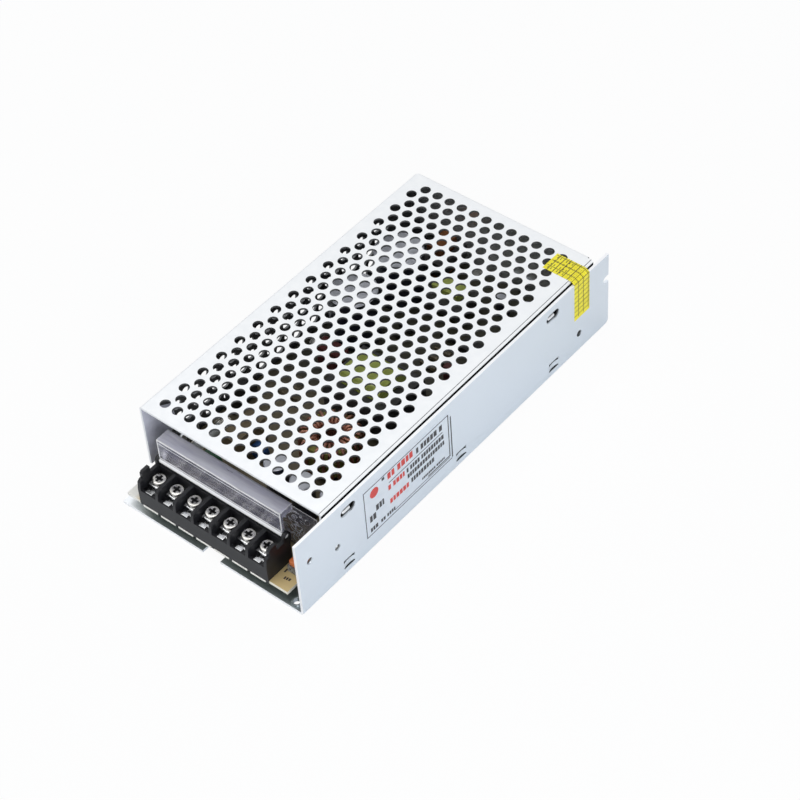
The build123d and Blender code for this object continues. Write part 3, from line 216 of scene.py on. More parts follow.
def softened(name, title, material, width, body="case", rim=None):
    """A merged copy of a frame node whose corners are rounded, in its place."""
    bpy.ops.object.select_all(action="DESELECT")
    piece = bpy.data.objects.new(title, nodes[name].data.copy())
    bpy.context.collection.objects.link(piece)
    piece.select_set(True)
    bpy.context.view_layer.objects.active = piece
    piece.data.name = title
    piece.data.materials.clear()
    piece.data.materials.append(material)
    bpy.ops.object.mode_set(mode="EDIT")
    bpy.ops.mesh.select_all(action="SELECT")
    bpy.ops.mesh.remove_doubles(threshold=0.000001)
    bpy.ops.mesh.dissolve_limited(angle_limit=math.radians(1))
    bpy.ops.object.mode_set(mode="OBJECT")
    edge = piece.modifiers.new("edge", "BEVEL")
    edge.width = width * mm
    edge.segments = 2
    edge.limit_method = "ANGLE"
    edge.angle_limit = math.radians(30)
    if rim:
        piece.data.materials.append(rim)
        edge.material = 1
    bpy.ops.object.modifier_apply(modifier=edge.name)
    smooth(piece, 40)
    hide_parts(name)
    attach(piece, body)
    return piece


aluminium = surface("rolled aluminium", (0.76, 0.82, 0.88), (0.80, 0.85, 0.91), 0.38, 300, 0.02,
                    metallic=0.85, stretch=(1, 0.1, 1))
bright, sheared_edge_highlight = (0.78, 0.835, 0.895), (0.94, 0.95, 0.97)
# Each layer lies over those before it: painted shade on the floor, in the slits and the holes and
# along the foot, the wall's outer face in bare metal and its inner face in a lighter painted shade,
# bare metal on the underside, the rear and the lit left strip, and a painted highlight on the
# sheared edges.
# Painted shade on every upward face: the floor and the slits' lower edges.
past(aluminium, "Normal", "Z", 0.6, (0.15, 0.18, 0.18), 0.26, 0.9, spread=0.2)
past(aluminium, "Object", "Z", 10.0 * mm, bright, 0.38, 0.85, spread=1.0)
# Painted shade inside the wall: the hole interiors, the inner face and the floor.
past(aluminium, "Object", "X", 47.8 * mm, (0.13, 0.135, 0.14), 0.5, 0.6, spread=0.1, below=True)
# Painted shade along the lowest 3.2 mm, under the board.
past(aluminium, "Object", "Z", 3.2 * mm, (0.23, 0.265, 0.275), 0.28, 0.9, spread=0.1, below=True)
past(aluminium, "Normal", "X", 0.6, bright, 0.38, 0.85, spread=0.1)
# The wall's inner face in a lighter painted shade.
past(aluminium, "Normal", "X", -0.6, (0.42, 0.44, 0.46), 0.5, 0.6, spread=0.1, below=True)
past(aluminium, "Normal", "Z", -0.6, bright, 0.38, 0.85, spread=0.1, below=True)
past(aluminium, "Object", "Y", 88.0 * mm, bright, 0.38, 0.85, spread=1.0)
# The left strip back in bare metal, where it stands lit.
past(aluminium, "Object", "X", -39.0 * mm, (0.80, 0.83, 0.86), 0.35, 0.8, spread=7.0, below=True)
# A painted highlight on the sheared front and top edges.
past(aluminium, "Object", "Y", -99.42 * mm, sheared_edge_highlight, 0.35, 0.4, spread=0.05, below=True)
past(aluminium, "Object", "Z", 40.36 * mm, sheared_edge_highlight, 0.35, 0.4, spread=0.05)
tray = softened("tray", "folded_tray", aluminium, 0.12)
band_ys, half_band = (-71.5, -1.4, 60.9), 3.2
lower_slit_up, upper_slit_up, band_out = 0.6, 0.55, 0.5
# The lower slits are made narrower and the upper ones wider, and each band is
# brought part of the way back out.
for point in tray.data.vertices:
    x, y, z = point.co / mm
    for middle in band_ys:
        bow = 1 - ((y - middle) / half_band) ** 2
        if x < 46 or bow < -0.12:
            continue
        if 3.0 < z < 3.8:
            point.co.z += lower_slit_up * mm
        elif 7.9 < z < 8.4:
            point.co.z += upper_slit_up * mm
        elif 4.3 < z < 7.5:
            point.co.x += band_out * bow * mm


# Cover
# Zinc-coated sheet 1 mm thick, punched with staggered round holes on the top
# and the left side, then folded: a left side, a back and a short right flange.
def finish_mesh(piece, name, material, angle=30):
    """Names the piece, gives it one finish and smooths what is not a corner."""
    piece.name = name
    piece.data.name = name
    piece.data.materials.clear()
    piece.data.materials.append(material)
    bpy.ops.object.select_all(action="DESELECT")
    piece.select_set(True)
    bpy.context.view_layer.objects.active = piece
    bpy.ops.object.transform_apply(location=True, rotation=True, scale=True)
    smooth(piece, angle)


def apply_all(piece):
    """Applies every modifier of the piece, in order."""
    bpy.context.view_layer.objects.active = piece
    for modifier in list(piece.modifiers):
        bpy.ops.object.modifier_apply(modifier=modifier.name)


def join(pieces):
    """Joins the pieces into the first of them."""
    bpy.ops.object.select_all(action="DESELECT")
    for piece in pieces:
        piece.select_set(True)
    bpy.context.view_layer.objects.active = pieces[0]
    bpy.ops.object.join()
    bpy.ops.object.transform_apply(location=True, rotation=True, scale=True)
    return pieces[0]


def wire(corners):
    """A closed outline of straight edges through the given corners."""
    mesh = bpy.data.meshes.new("outline")
    count = len(corners)
    edges = [(k, (k + 1) % count) for k in range(count)]
    mesh.from_pydata([Vector(c) * mm for c in corners], edges, [])
    piece = bpy.data.objects.new("outline", mesh)
    bpy.context.collection.objects.link(piece)
    return piece


def rings(centre, radius, normal, steps=(), counts=()):
    """Open rings of edges at regular steps from the first centre."""
    bpy.ops.object.select_all(action="DESELECT")
    bpy.ops.mesh.primitive_circle_add(vertices=24, radius=radius * mm, fill_type="NOTHING",
                                      location=Vector(centre) * mm)
    piece = bpy.context.object
    piece.rotation_euler = Vector(normal).to_track_quat("Z", "Y").to_euler()
    bpy.ops.object.transform_apply(location=True, rotation=True, scale=True)
    for step, count in zip(steps, counts):
        copies = piece.modifiers.new("copies", "ARRAY")
        copies.use_relative_offset = False
        copies.use_constant_offset = True
        copies.constant_offset_displace = Vector(step) * mm
        copies.count = count
    apply_all(piece)
    return piece


def filled(pieces):
    """Joins outlines in one plane and fills between them."""
    piece = join(pieces)
    bpy.ops.object.mode_set(mode="EDIT")
    bpy.ops.mesh.select_all(action="SELECT")
    bpy.ops.mesh.fill(use_beauty=True)
    bpy.ops.object.mode_set(mode="OBJECT")
    return piece


zinc = surface("zinc-coated sheet", (0.86, 0.88, 0.90), (0.89, 0.905, 0.92), 0.36, 260, 0.04,
               metallic=0.5)
cover_low, cover_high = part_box("cover")
left, front, foot = (value / mm for value in cover_low)
rear, top = cover_high.y / mm, cover_high.z / mm
side, bend, sheet = 46.6, 1.2, 1.0
clip, tail_gap, flange_tall = 2.9, 1.3, 12
hole_radius, pitch, row = 2.3, 6.635, 5.507
mid_x, mid_y = (left + side) / 2 - 0.4, (front + rear) / 2
rows = 15
first_row = mid_y - row / 2 - (rows - 1) * row
crown = filled([
    wire([(left + bend, front, top), (side - bend, front, top), (side - bend, rear - bend, top),
          (side - clip, rear - bend, top), (left + bend, rear - bend, top)]),
    rings((mid_x - 6 * pitch, first_row, top), hole_radius, (0, 0, 1),
          ((pitch, 0, 0), (0, 2 * row, 0)), (13, rows)),
    rings((mid_x - 5.5 * pitch, first_row + row, top), hole_radius, (0, 0, 1),
          ((pitch, 0, 0), (0, 2 * row, 0)), (12, rows)),
])


def fold(piece, chosen, centre, axis):
    """Bends the sheet square on from the chosen edge, round a line beside it."""
    bpy.ops.object.select_all(action="DESELECT")
    piece.select_set(True)
    bpy.context.view_layer.objects.active = piece
    bpy.ops.object.mode_set(mode="EDIT")
    bpy.ops.mesh.select_all(action="DESELECT")
    bpy.ops.object.mode_set(mode="OBJECT")
    for edge in piece.data.edges:
        ends = [piece.data.vertices[k].co / mm for k in edge.vertices]
        edge.select = all(chosen(end) for end in ends)
    bpy.ops.object.mode_set(mode="EDIT")
    bpy.ops.mesh.select_mode(type="EDGE")
    bpy.ops.mesh.spin(steps=6, angle=math.radians(90), center=Vector(centre) * mm, axis=axis)
    bpy.ops.object.mode_set(mode="OBJECT")


def near(value, target):
    """Whether two lengths in millimetres are the same."""
    return abs(value - target) < 0.01


fold(crown, lambda v: near(v.x, left + bend) and near(v.z, top),
     (left + bend, 0, top - bend), (0, 1, 0))
fold(crown, lambda v: near(v.x, side - bend) and near(v.z, top),
     (side - bend, 0, top - bend), (0, -1, 0))
fold(crown, lambda v: near(v.y, rear - bend) and near(v.z, top) and v.x < side - 2,
     (0, rear - bend, top - bend), (1, 0, 0))

screw_ys, screw_z, screw_hole = (-61.5, 66.5), 8.0, 2.85
window_front, window_rear, window_foot, window_top = 75.0, 84.0, 10.7, 15.3
side_rings = []
for column in range(25):
    for line in range(7):
        y, z = front + 18.5 + column * row, top - 10.9 - line * pitch / 2
        at_screw = any(abs(y - a) < 8.3 and abs(z - screw_z) < 5.2 for a in screw_ys)
        if (line + column) % 2 and not at_screw:
            side_rings.append(rings((left, y, z), hole_radius, (-1, 0, 0)))
side_rings += [rings((left, y, screw_z), screw_hole, (-1, 0, 0)) for y in screw_ys]
notch_in, notch_up, notch_round = 8, 7, 2
notch = [(left, front + notch_in + notch_round * math.sin(a), notch_up + notch_round * math.cos(a))
         for a in (0, 0.4, 0.8, 1.2, 1.57)]
flank = filled([
    wire([(left, front, top - bend), (left, front, notch_up + notch_round)] + notch + [
        (left, front + notch_in + notch_round, foot), (left, rear, foot),
        (left, rear, top - 2 * bend), (left, rear - bend, top - bend)]),
    wire([(left, window_front, window_foot), (left, window_front, window_top),
          (left, window_rear, window_top), (left, window_rear, window_foot)]),
] + side_rings)
tail = filled([
    wire([(left + tail_gap, rear, foot), (side - tail_gap, rear, foot),
          (side - tail_gap, rear, top - 2 * bend), (side - clip, rear, top - bend),
          (left + bend, rear, top - bend), (left + tail_gap, rear, top - 2 * bend)]),
    rings((10, rear, screw_z), screw_hole, (0, 1, 0)),
])
flange = filled([wire([(side, front, top - bend), (side, front, top - flange_tall),
                       (side, rear - bend, top - flange_tall), (side, rear - bend, top - bend)])])
cover = join([crown, flank, tail, flange])
bpy.ops.object.mode_set(mode="EDIT")
bpy.ops.mesh.select_all(action="SELECT")
bpy.ops.mesh.remove_doubles(threshold=0.00001)
bpy.ops.mesh.normals_make_consistent(inside=False)
bpy.ops.object.mode_set(mode="OBJECT")
wall = cover.modifiers.new("sheet", "SOLIDIFY")
wall.thickness = sheet * mm
wall.offset = -1
wall.use_even_offset = True
apply_all(cover)
hook_x, hook_z, hook_size = 46.9, 33.6, (1.4, 4.4, 1.3)
hooks = []
for hook_y in (-69.3, 60.7):
    bpy.ops.mesh.primitive_cube_add(size=mm, location=Vector((hook_x, hook_y, hook_z)) * mm,
                                    scale=hook_size)
    hooks.append(bpy.context.object)
    bpy.ops.object.transform_apply(location=True, rotation=True, scale=True)
    worn = hooks[-1].modifiers.new("worn", "BEVEL")
    worn.width = 0.3 * mm
    apply_all(hooks[-1])
cover = join([cover] + hooks)
finish_mesh(cover, "cover_sheet", zinc, 40)
# Painted shade on the walls of the holes and along the bend line.
hole_shade = surface("painted shade in holes", (0.10, 0.105, 0.11), (0.17, 0.175, 0.18), 0.5, 300, 0.1,
                  metallic=0.4)
# A painted shadow for the gap between the flange and the wall.
shaded = surface("painted gap shadow", (0.003, 0.003, 0.004), (0.006, 0.006, 0.007), 0.8, 300, 0.1)
shaded.node_tree.nodes["Principled BSDF"].inputs["Specular IOR Level"].default_value = 0.1
# The inner face near the front opening, in painted light.
lit_inner = surface("painted lit inner face", (0.62, 0.64, 0.76), (0.70, 0.72, 0.84), 0.5, 300, 0.05)
# The inner face further in and the top's underside, in painted shade.
shaded_inner = surface("painted shade inner face", (0.07, 0.073, 0.08), (0.12, 0.125, 0.13), 0.55, 300, 0.1,
               metallic=0.3)
for finish in (hole_shade, shaded, lit_inner, shaded_inner):
    cover.data.materials.append(finish)
hole_shade_slot, shaded_slot, lit_inner_slot, shaded_inner_slot = 1, 2, 3, 4
# Hole walls and the bend line take painted shade, the flange's face below the bend a painted gap
# shadow, the left side's inner face painted light near the front and painted shade further in, and
# the top's underside painted shade.
for face in cover.data.polygons:
    x, y, z = face.center / mm
    in_sheet = front + 0.1 < y < rear - 0.1 and left + 0.1 < x < side - 0.1
    in_flank = x < left + sheet and front + 0.1 < y < rear - 0.1 and 4 < z < top - 2
    flat_z, flat_x = abs(face.normal.z) < 0.3, abs(face.normal.x) < 0.3
    bend_line = side - 1.19 < x < side - 0.9 and z > top - 0.2 and face.normal.z > 0.7
    if (in_sheet and z > top - sheet and flat_z) or (in_flank and flat_x) or bend_line:
        face.material_index = hole_shade_slot
    elif side - 0.4 < x < side + 0.1 and z < top - 0.85 and y > front + 0.1 and face.normal.x > 0.3:
        face.material_index = shaded_slot
    elif abs(x - left - sheet) < 0.05 and face.normal.x > 0.9:
        face.material_index = lit_inner_slot if y < front + 12 else shaded_inner_slot
    elif abs(z - top + sheet) < 0.05 and face.normal.z < -0.9:
        face.material_index = shaded_inner_slot
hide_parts("cover")
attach(cover, "case")


# Screws
# Zinc-plated steel screws with a cross recess, pressed and thread-rolled. Seven
# clamp the wires, three hold the cover and the rest hold the board and devices.
plated = surface("plated steel", (0.40, 0.39, 0.37), (0.74, 0.73, 0.70), 0.22, 420, 0.08,
                 metallic=1.0)
# Painted shade for the inside of the cross recess.
recess_shade = surface("recess shadow", (0.02, 0.02, 0.022), (0.05, 0.05, 0.055), 0.5, 900, 0.1,
               metallic=0.6)


def cross_screw(radius, height, shank, length, title):
    """A pan head with a tapered cross on a shank, standing on the origin."""
    bpy.ops.object.select_all(action="DESELECT")
    bpy.ops.mesh.primitive_cylinder_add(vertices=40, radius=radius * mm, depth=height * mm,
                                        location=(0, 0, height / 2 * mm))
    head = bpy.context.object
    bpy.ops.object.transform_apply(location=True, rotation=True, scale=True)
    rim = head.modifiers.new("rim", "BEVEL")
    rim.width = 0.28 * height * mm
    rim.segments = 4
    rim.limit_method = "ANGLE"
    apply_all(head)
    head.data.materials.append(plated)
    head.data.materials.append(recess_shade)
    for turned in (0, 90):
        bpy.ops.mesh.primitive_cube_add(size=1, location=(0, 0, (height - 0.1) * mm))
        cutter = bpy.context.object
        cutter.scale = (1.6 * radius * mm, 0.52 * radius * mm, 1.5 * height * mm)
        cutter.rotation_euler[2] = math.radians(turned)
        bpy.ops.object.transform_apply(location=True, rotation=True, scale=True)
        for corner in cutter.data.vertices:
            if corner.co.z < height / 2 * mm:
                corner.co.x *= 0.45
                corner.co.y *= 0.45
                corner.co.z = 0.25 * height * mm
        cut = head.modifiers.new("cross", "BOOLEAN")
        cut.operation = "DIFFERENCE"
        cut.object = cutter
        apply_all(head)
        bpy.data.objects.remove(cutter)
    # The recess walls take the painted recess shade.
    for face in head.data.polygons:
        flat = math.hypot(face.center.x, face.center.y) < 0.75 * radius * mm
        face.material_index = int(flat and 0.2 * height * mm < face.center.z < 0.97 * height * mm)
    bpy.ops.mesh.primitive_cylinder_add(vertices=24, radius=shank * mm, depth=length * mm,
                                        location=(0, 0, -length / 2 * mm))
    stem = bpy.context.object
    stem.data.materials.append(plated)
    tip = stem.modifiers.new("tip", "BEVEL")
    tip.width = 0.3 * mm
    tip.limit_method = "ANGLE"
    apply_all(stem)
    screw = join([head, stem])
    bpy.ops.object.shade_smooth_by_angle(angle=math.radians(35))
    screw.name = title
    screw.data.name = title
    return screw


def placed(model, title, place, axis, node, body="case"):
    """One copy of the model at its place, with its own mesh."""
    piece = bpy.data.objects.new(title, model.data.copy())
    bpy.context.collection.objects.link(piece)
    turn = Vector(axis).to_track_quat("Z", "Y").to_matrix().to_4x4()
    piece.data.transform(Matrix.Translation(Vector(place) * mm) @ turn)
    if node:
        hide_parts(node)
        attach(piece, body)
    return piece


def dress(names, material):
    """The named nodes of the frame take this finish."""
    for name in names:
        nodes[name].data.materials.clear()
        nodes[name].data.materials.append(material)


way_xs = [-33.59 + 9.63 * k for k in range(7)]
clamp_y, clamp_top = -91.0, 15.2
screw_model = cross_screw(3.1, 2.0, 1.5, 7.0, "screw_model")
for k, x in enumerate(way_xs, start=1):
    placed(screw_model, f"clamp_screw_{k}", (x, clamp_y, clamp_top), (0, 0, 1),
           f"terminal_screw_{k}", f"screw_{k}")
bpy.data.objects.remove(screw_model)
cover_screw_model = cross_screw(2.75, 1.6, 1.3, 3.6, "cover_screw_model")
sunk = 1.65
outer = [placed(cover_screw_model, "case_screws", (left + sunk, y, screw_z), (-1, 0, 0), None)
         for y in screw_ys]
outer.append(placed(cover_screw_model, "case_screws", (10, rear - sunk, screw_z), (0, 1, 0), None))
bpy.data.objects.remove(cover_screw_model)
case_screws = join(outer)
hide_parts("cover_screws")
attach(case_screws, "case")
dress(["board_screws", "device_screws"], plated)


# Board
# A pressed laminate board, tan on the component side with a pale sawn edge,
# held on brass spacers over a black insulating sheet.
laminate = surface("board laminate", (0.86, 0.83, 0.72), (0.93, 0.90, 0.80), 0.5, 380, 0.1)
past(laminate, "Normal", "Z", 0.5, (0.68, 0.52, 0.25), 0.4, 0.0)
# A painted highlight on the board's left end, where the light falls strongly.
past(laminate, "Object", "X", -41.0 * mm, (0.86, 0.85, 0.80), 0.35, 0.0, spread=2.0, below=True)
# Painted shade on the board behind the terminals, deeper still further back under the cover.
past(laminate, "Object", "Y", -79.0 * mm, (0.22, 0.185, 0.12), 0.5, 0.0, spread=2.0)
past(laminate, "Object", "Y", -12.0 * mm, (0.05, 0.048, 0.03), 0.5, 0.0, spread=12.0)
board = softened("circuit_board", "laminate_board", laminate, 0.08)
dress(["insulating_sheet"],
      surface("black film", (0.010, 0.011, 0.013), (0.03, 0.03, 0.035), 0.4, 300, 0.1))
dress(["board_spacers"],
      surface("brass", (0.62, 0.45, 0.20), (0.74, 0.56, 0.28), 0.3, 500, 0.08, metallic=1.0))


def block(low, high, soften=0.0):
    """A box between two corners, its edges rounded where it has a radius."""
    low, high = Vector(low), Vector(high)
    bpy.ops.mesh.primitive_cube_add(size=1, location=(low + high) / 2 * mm, scale=(high - low) * mm)
    piece = bpy.context.object
    bpy.ops.object.transform_apply(location=True, rotation=True, scale=True)
    if soften:
        edge = piece.modifiers.new("edge", "BEVEL")
        edge.width = soften * mm
        edge.segments = 2
        apply_all(piece)
    return piece


half_tongue, tongue_front, tongue_back, tongue_low, tongue_high = 3.95, -98.35, -97.7, 4.42, 5.38
tongues = [block((x - half_tongue, tongue_front, tongue_low),
                 (x + half_tongue, tongue_back, tongue_high), 0.05)
           for x in way_xs]
tinned_edge = surface("tinned edge", (0.93, 0.91, 0.86), (0.97, 0.96, 0.92), 0.35, 300, 0.05,
                      metallic=0.8)
for piece in tongues:
    piece.data.materials.append(tinned_edge)
board = join([board] + tongues)
silk = surface("dark legend ink", (0.03, 0.02, 0.02), (0.09, 0.07, 0.06), 0.5, 900, 0.1)
legend_boxes = [((33.3, -93.6), (34.0, -92.2)), ((34.3, -93.4), (35.0, -92.0)),
                ((35.3, -93.2), (36.2, -91.9)), ((31.2, -90.9), (31.9, -89.0)),
                ((41.4, -88.0), (41.8, -85.4)), ((42.4, -88.0), (42.8, -86.2))]
legend_foot, legend_top = 5.98, 6.03
legend = join([block((*low, legend_foot), (*high, legend_top), 0.01) for low, high in legend_boxes])
finish_mesh(legend, "board_legend", silk)
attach(legend, "case")


# Terminal block
# A moulded black block with a sill, ribs between seven ways and a back wall,
# snapped over the board's edge, its plated contacts pressed into it.
moulding = surface("black moulding", (0.007, 0.0072, 0.009), (0.013, 0.0135, 0.017), 0.42, 420,
                   0.08)
moulding.node_tree.nodes["Principled BSDF"].inputs["Specular IOR Level"].default_value = 0.35
softened("terminal_block", "ribbed_block", moulding, 0.18)
tinned = surface("bright plate", (0.74, 0.75, 0.77), (0.88, 0.89, 0.90), 0.22, 600, 0.05,
                 metallic=1.0)
softened("terminal_contacts", "contact_plates", tinned, 0.1)
half_washer, washer_foot, washer_thick = 3.3, 14.3, 0.9
washer_model = block((-half_washer, -half_washer, 0), (half_washer, half_washer, washer_thick))
pressed = washer_model.modifiers.new("pressed", "BEVEL")
pressed.width = 0.28 * mm
pressed.segments = 3
apply_all(washer_model)
bpy.ops.mesh.primitive_cylinder_add(vertices=32, radius=1.7 * mm, depth=4 * mm, location=(0, 0, 0))
drill = bpy.context.object
bore = washer_model.modifiers.new("bore", "BOOLEAN")
bore.operation = "DIFFERENCE"
bore.object = drill
apply_all(washer_model)
bpy.data.objects.remove(drill)
washer_model.data.materials.append(tinned)
bpy.ops.object.select_all(action="DESELECT")
washer_model.select_set(True)
bpy.context.view_layer.objects.active = washer_model
bpy.ops.object.shade_smooth_by_angle(angle=math.radians(35))
for k, x in enumerate(way_xs, start=1):
    placed(washer_model, f"square_washer_{k}", (x, clamp_y, washer_foot), (0, 0, 1),
           f"clamp_washer_{k}", f"clamp_{k}")
bpy.data.objects.remove(washer_model)


# Clear parts
# A hinged cover of clear polycarbonate over the terminals and, behind it, a
# thin clear film that keeps fingers and wires out of the board.
def clear(name, dark, light, rough, scale, bump, share, stretch=(1, 1, 1)):
    """A clear plastic with faint streaks and ripples that come from a noise."""
    material = surface(name, dark, light, rough, scale, bump, stretch=stretch, depth=0.0005)
    shader = material.node_tree.nodes["Principled BSDF"]
    shader.inputs["Transmission Weight"].default_value = share
    shader.inputs["IOR"].default_value = 1.45
    return material


clear_sheet = clear("clear polycarbonate", (0.40, 0.40, 0.52), (0.92, 0.92, 1.0), 0.08, 700, 0.3,
                    0.82, stretch=(0.03, 1, 1))
# A painted highlight for the rounded edges of the clear parts.
clear_highlight = clear("painted highlight edge", (0.97, 0.97, 1.0), (1.0, 1.0, 1.0), 0.2, 60, 0.02, 0.0)
# A milky, paler clear plastic, a painted reflection on the flap's top return.
painted_reflection_plastic = clear("painted reflection plastic", (0.62, 0.62, 0.74), (0.92, 0.92, 1.0), 0.3, 500, 0.6, 0.5,
                    stretch=(0.1, 1, 1))
flap = softened("terminal_flap", "clear_flap", clear_sheet, 0.5, body="flap", rim=clear_highlight)
flap.data.materials.append(painted_reflection_plastic)
beads = [((-37.4, -85.86, 32.55), (28.0, -85.3, 33.0)),
         ((-37.0, -85.86, 30.9), (27.6, -85.7, 31.15)),
         ((-37.4, -85.86, 22.2), (28.0, -85.7, 22.75)),
         ((-37.4, -85.86, 22.2), (-36.95, -85.3, 32.9)),
         ((27.55, -85.86, 22.2), (28.0, -85.3, 32.9)),
         ((-37.4, -79.2, 32.6), (28.0, -78.8, 33.0))]
sheet_slot, highlight_slot, reflection_slot = 0, 1, 2
hinge_top, sheet_back = 21.8, -84.3
# The hinge barrel takes the painted highlight; the top return takes the milky painted reflection.
for face in flap.data.polygons:
    x, y, z = face.center / mm
    if z < hinge_top:
        face.material_index = highlight_slot
    elif face.material_index == sheet_slot and y > sheet_back:
        face.material_index = reflection_slot
# The raised ridges carry the painted highlight.
raised = [block(*corners, 0.06) for corners in beads]
for piece in raised:
    piece.data.materials.append(clear_highlight)
flap = join([flap] + raised)
film = clear("clear film", (0.84, 0.84, 0.92), (0.88, 0.88, 0.96), 0.05, 130, 1.0, 0.93)
tree = film.node_tree
# Painted glints: thin wavy lines of whitish colour across the film, whose rims also take the
# painted highlight.
glint = tree.nodes.new("ShaderNodeTexNoise")
glint.inputs["Scale"].default_value = 170.0
glint.inputs["Distortion"].default_value = 1.2
glint_lines = tree.nodes.new("ShaderNodeMath")
glint_lines.operation = "COMPARE"
glint_lines.inputs[1].default_value = 0.5
patches = tree.nodes.new("ShaderNodeTexNoise")
patches.inputs["Scale"].default_value = 45.0
thin_out = tree.nodes.new("ShaderNodeMapRange")
thin_out.inputs["From Min"].default_value = 0.42
thin_out.inputs["From Max"].default_value = 0.62
thin_out.inputs["To Max"].default_value = 0.03
glint_white = tree.nodes.new("ShaderNodeBsdfPrincipled")
glint_white.inputs["Base Color"].default_value = (0.86, 0.87, 0.92, 1)
glint_white.inputs["Roughness"].default_value = 0.3
either = tree.nodes.new("ShaderNodeMixShader")
tree.links.new(tree.nodes["Texture Coordinate"].outputs["Object"], glint.inputs["Vector"])
tree.links.new(tree.nodes["Texture Coordinate"].outputs["Object"], patches.inputs["Vector"])
tree.links.new(patches.outputs["Fac"], thin_out.inputs[0])
tree.links.new(thin_out.outputs[0], glint_lines.inputs[2])
tree.links.new(glint.outputs["Fac"], glint_lines.inputs[0])
tree.links.new(glint_lines.outputs[0], either.inputs[0])
tree.links.new(tree.nodes["Principled BSDF"].outputs[0], either.inputs[1])
tree.links.new(glint_white.outputs[0], either.inputs[2])
tree.links.new(either.outputs[0], tree.nodes["Material Output"].inputs["Surface"])
softened("barrier_sheet", "clear_film", film, 0.1, rim=clear_highlight)


# Trimmer and lamp
# A square trimmer with a slotted orange dial that sets the output, and beside
# it the small lamp that shows the supply is on.
speckled = surface("speckled base", (0.012, 0.012, 0.012), (0.42, 0.42, 0.41), 0.4, 1100, 0.15)
orange = surface("orange dial", (0.78, 0.20, 0.06), (0.86, 0.26, 0.09), 0.42, 400, 0.08)
green = surface("lamp lens", (0.10, 0.42, 0.16), (0.16, 0.55, 0.22), 0.2, 300, 0.02)
softened("trimmer_base", "trimmer_body", speckled, 0.15)
softened("trimmer_dial", "slotted_dial", orange, 0.2, body="dial")
softened("indicator_lamp", "lamp_lens", green, 0.05)


# Parts on the board
# Wound parts, capacitors in printed sleeves and moulded devices, soldered to
# the board or pressed to the case wall to lose their heat.
ferrite = surface("ferrite", (0.035, 0.035, 0.037), (0.06, 0.06, 0.062), 0.5, 500, 0.3)
dress(["transformer_core", "drive_core", "filter_core"], ferrite)
dress(["transformer_winding", "drive_winding"],
      surface("yellow winding tape", (0.45, 0.52, 0.10), (0.64, 0.72, 0.18), 0.3, 200, 0.3,
              stretch=(1, 1, 6)))
dress(["filter_winding"],
      surface("enamelled wire", (0.30, 0.10, 0.04), (0.46, 0.18, 0.07), 0.3, 900, 0.4,
              metallic=0.6, stretch=(0.1, 0.1, 1)))
dress(["choke_core"],
      surface("powdered iron", (0.30, 0.28, 0.06), (0.38, 0.36, 0.10), 0.5, 500, 0.2))
copper = surface("enamelled copper", (0.42, 0.19, 0.13), (0.60, 0.31, 0.23), 0.28, 400, 0.1,
                 metallic=0.8)
loop_wide, loop_tall, ring_radius, turn_wire, round_start = 3.7, 7.9, 9.2, 0.75, 5
turn_count, first_turn, swept = 26, -78, 336
choke_centre = (10.0, -36.0, 17.15)
bpy.ops.mesh.primitive_torus_add(major_radius=round_start * mm, minor_radius=turn_wire * mm,
                                 major_segments=28, minor_segments=8,
                                 rotation=(math.radians(90), 0, 0))
turn_model = bpy.context.object
bpy.ops.object.transform_apply(location=True, rotation=True, scale=True)
for point in turn_model.data.vertices:
    angle = math.atan2(point.co.z, point.co.x)
    out = math.hypot(point.co.x, point.co.z) - round_start * mm
    wide, tall = math.cos(angle), math.sin(angle)
    point.co.x = (math.copysign(abs(wide) ** 0.5, wide) * loop_wide + ring_radius) * mm + out * wide
    point.co.z = math.copysign(abs(tall) ** 0.5, tall) * loop_tall * mm + out * tall
turns = []
for k in range(turn_count):
    turn = bpy.data.objects.new("turn", turn_model.data.copy())
    bpy.context.collection.objects.link(turn)
    angle = math.radians(first_turn + swept * k / (turn_count - 1))
    turn.data.transform(Matrix.Translation(Vector(choke_centre) * mm)
                        @ Matrix.Rotation(angle, 4, "Z"))
    turns.append(turn)
bpy.data.objects.remove(turn_model)
choke_turns = join(turns)
finish_mesh(choke_turns, "choke_turns", copper, 60)
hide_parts("choke_winding")
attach(choke_turns, "case")
dress(["transformer_bobbin", "choke_base", "selector_body"],
      surface("dark moulding", (0.02, 0.02, 0.022), (0.04, 0.04, 0.044), 0.45, 500, 0.1))
can_tops = {"bulk_capacitors": 31.6, "output_capacitors": 25.6, "small_capacitors": 16.7}
for name, level in can_tops.items():
    sleeve = surface(f"sleeve of {name}", (0.015, 0.018, 0.03), (0.03, 0.035, 0.055), 0.3, 300,
                     0.05)
    dress([name], past(sleeve, "Object", "Z", level * mm, (0.76, 0.78, 0.85), 0.4, 0.5))
dress(["disc_capacitor"],
      surface("blue dip", (0.015, 0.06, 0.20), (0.03, 0.10, 0.28), 0.3, 400, 0.1))
dress(["thermistor"], surface("green dip", (0.02, 0.09, 0.04), (0.04, 0.14, 0.07), 0.4, 400, 0.15))
dress(["resistors"],
      surface("resistor lacquer", (0.12, 0.10, 0.06), (0.20, 0.16, 0.10), 0.45, 900, 0.1))
dress(["diodes"], surface("diode body", (0.015, 0.015, 0.015), (0.05, 0.05, 0.05), 0.4, 900, 0.1))
dress(["x_capacitor"], surface("ochre box", (0.16, 0.12, 0.07), (0.24, 0.19, 0.11), 0.4, 300, 0.05))
dress(["film_capacitors"],
      surface("brown dip", (0.10, 0.02, 0.02), (0.15, 0.035, 0.03), 0.35, 300, 0.1))
fuse_glass = surface("fuse glass", (0.50, 0.52, 0.52), (0.66, 0.68, 0.68), 0.12, 300, 0.02)
dress(["input_fuse"], past(fuse_glass, "Object", "Y", -51.0 * mm, (0.70, 0.68, 0.62), 0.25, 1.0))
